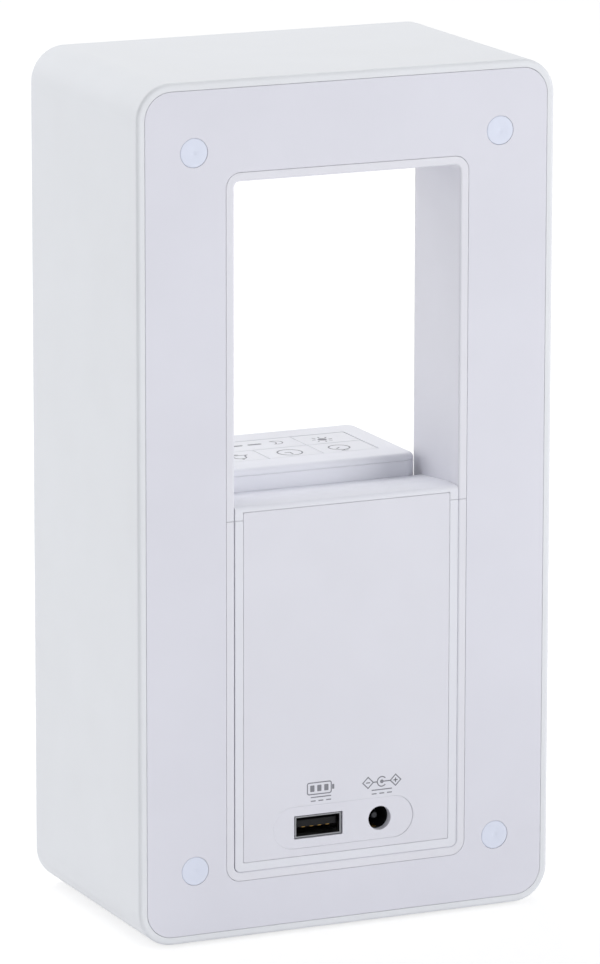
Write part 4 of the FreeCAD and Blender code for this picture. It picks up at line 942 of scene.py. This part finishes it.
def make_display_digits():
    """Four numerals with a colon of two dots in their midst."""
    parts = []
    for x, digit in DIGIT_COLUMNS.items():
        parts += shifted(digit_mark(digit), x, 0.0)
    parts += [printed_patch(loop(0.0, y, COLON_R, 16)) for y in (-COLON_RISE, COLON_RISE)]
    piece("display_digits", laid(parts, (0, LENS_FRONT, LENS_HEIGHT), (1, 0, 0), (0, 0, 1)), "lamp",
          "digit_glow")


# Turned and bent pieces

# Plugs: places from the body's middle and up from the shell's foot, then each disc's own sizes
PLUG_SIDE = 42.9
PLUG_HEIGHTS = (19.2, 206.9)
PLUG_R = 3.76
PLUG_RIM = 0.22
PLUG_THICK = 1.1
DIMPLE_R = 0.75
DIMPLE_DEEP = 0.1


def turned(profile, x, height, count=64):
    """A profile of (radius, depth) points carried round a line from back to front. Its ends lie on that
    line, as rings of no size that the merge closes."""
    profile = np.array(profile, float)
    angle = np.linspace(0.0, 2.0 * math.pi, count, endpoint=False)
    radius = profile[:, 0][:, None]
    across = x + radius * np.cos(angle)
    up = FOOT + height + radius * np.sin(angle)
    depth = np.broadcast_to(profile[:, 1][:, None], across.shape)
    points = np.stack([across, BACK - depth, up], axis=-1).reshape(-1, 3)
    return points, grid_faces(len(profile), count, False, True)


def make_plugs():
    """Each plug is a disc with a rounded rim, a quarter circle, and the small dimple that moulding leaves in
    its middle."""
    dimple = [(0.0, DIMPLE_DEEP), (0.6 * DIMPLE_R, DIMPLE_DEEP), (0.8 * DIMPLE_R, 0.4 * DIMPLE_DEEP),
              (DIMPLE_R, 0.0)]
    rim = [(PLUG_R - PLUG_RIM * (1.0 - math.sin(turn)), PLUG_RIM * (1.0 - math.cos(turn)))
           for turn in np.linspace(0, math.pi / 2, 7)]
    profile = dimple + rim + [(PLUG_R, PLUG_THICK), (0.0, PLUG_THICK)]
    plugs = [turned(profile, x, height) for x in (-PLUG_SIDE, PLUG_SIDE) for height in PLUG_HEIGHTS]
    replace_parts(piece("plug_discs", plugs, "lamp", "plug_white", True), "screw_plugs")


SHARP_TURN = 24.0


def make_funnel():
    """The opal funnel's own mesh, merged, and shaded smoothly across its flare: only edges that turn by more
    than the limit, in degrees, stay sharp."""
    mesh = bpy.data.meshes.new("opal_funnel")
    merge_points(bpy.data.objects["front_diffuser"].data, mesh)
    mesh.shade_smooth()
    mesh.set_sharp_from_angle(angle=math.radians(SHARP_TURN))
    mesh.materials.clear()
    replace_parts(placed("opal_funnel", mesh, "lamp", "opal_plastic"), "front_diffuser")


# Surround: the roll's middle radius and half width, the inner edge of its lap, the outer edge of its flange
# and its thickness, then the number of sectors, the steps across each, and half the slit between sectors in
# radians
ROLL_MIDDLE = 15.6
ROLL_HALF = 1.3
LAP_R = 13.1
FLANGE_R = 19.7
RUBBER_THICK = 0.4
SECTORS = 12
SECTOR_STEPS = 9
SECTOR_SLIT = 0.0015


def surround_section():
    """The section's radii and rises towards the front: a lap, half a circle and a flange, then the same
    points back again, thickened."""
    swell = np.linspace(0.0, math.pi, 15)
    radius = np.hstack([[LAP_R], ROLL_MIDDLE - ROLL_HALF * np.cos(swell), [FLANGE_R]])
    rise = np.hstack([[0.0], ROLL_HALF * np.sin(swell), [0.0]])
    return np.hstack([radius, radius[::-1]]), np.hstack([rise, rise[::-1] + RUBBER_THICK])


def make_surround():
    """The speaker's rubber half-roll, from the basket's flange to the cone, carried round the axis in equal
    sectors, each with no body of its own."""
    radius, rise = surround_section()
    count = len(radius)
    strip = np.arange(count // 2 - 1)
    cap = np.stack([strip, strip + 1, count - 2 - strip, count - 1 - strip], axis=1)
    last_cap = cap + (SECTOR_STEPS - 1) * count
    faces = np.vstack([grid_faces(SECTOR_STEPS, count, False, True), cap[:, ::-1], last_cap])
    half = math.pi / SECTORS
    reach = half - SECTOR_SLIT
    for number in range(SECTORS):
        middle = 2.0 * half * number
        angle = np.linspace(middle - reach, middle + reach, SECTOR_STEPS)[:, None]
        across = radius * np.cos(angle)
        up = SPEAKER_HEIGHT + radius * np.sin(angle)
        points = np.stack([across, np.broadcast_to(SURROUND_REAR - rise, across.shape), up], axis=-1)
        sector = piece("speaker_surround_%d" % (number + 1), [(points.reshape(-1, 3), faces)], None,
                       "surround_rubber", True)
        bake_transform(sector)
        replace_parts(sector, "speaker_surround")


make_camera()
make_world()
make_floor()
for lamp_name, (lamp_place, lamp_size, lamp_power) in LAMPS.items():
    make_lamp(lamp_name, lamp_place, lamp_size, lamp_power)
make_mouldings()
make_boards_and_lights()
make_metals()
make_wound_and_woven()
make_key_marks()
make_socket_marks()
make_display_digits()
make_plugs()
make_surround()
make_funnel()

bpy.context.scene.view_settings.view_transform = "Standard"
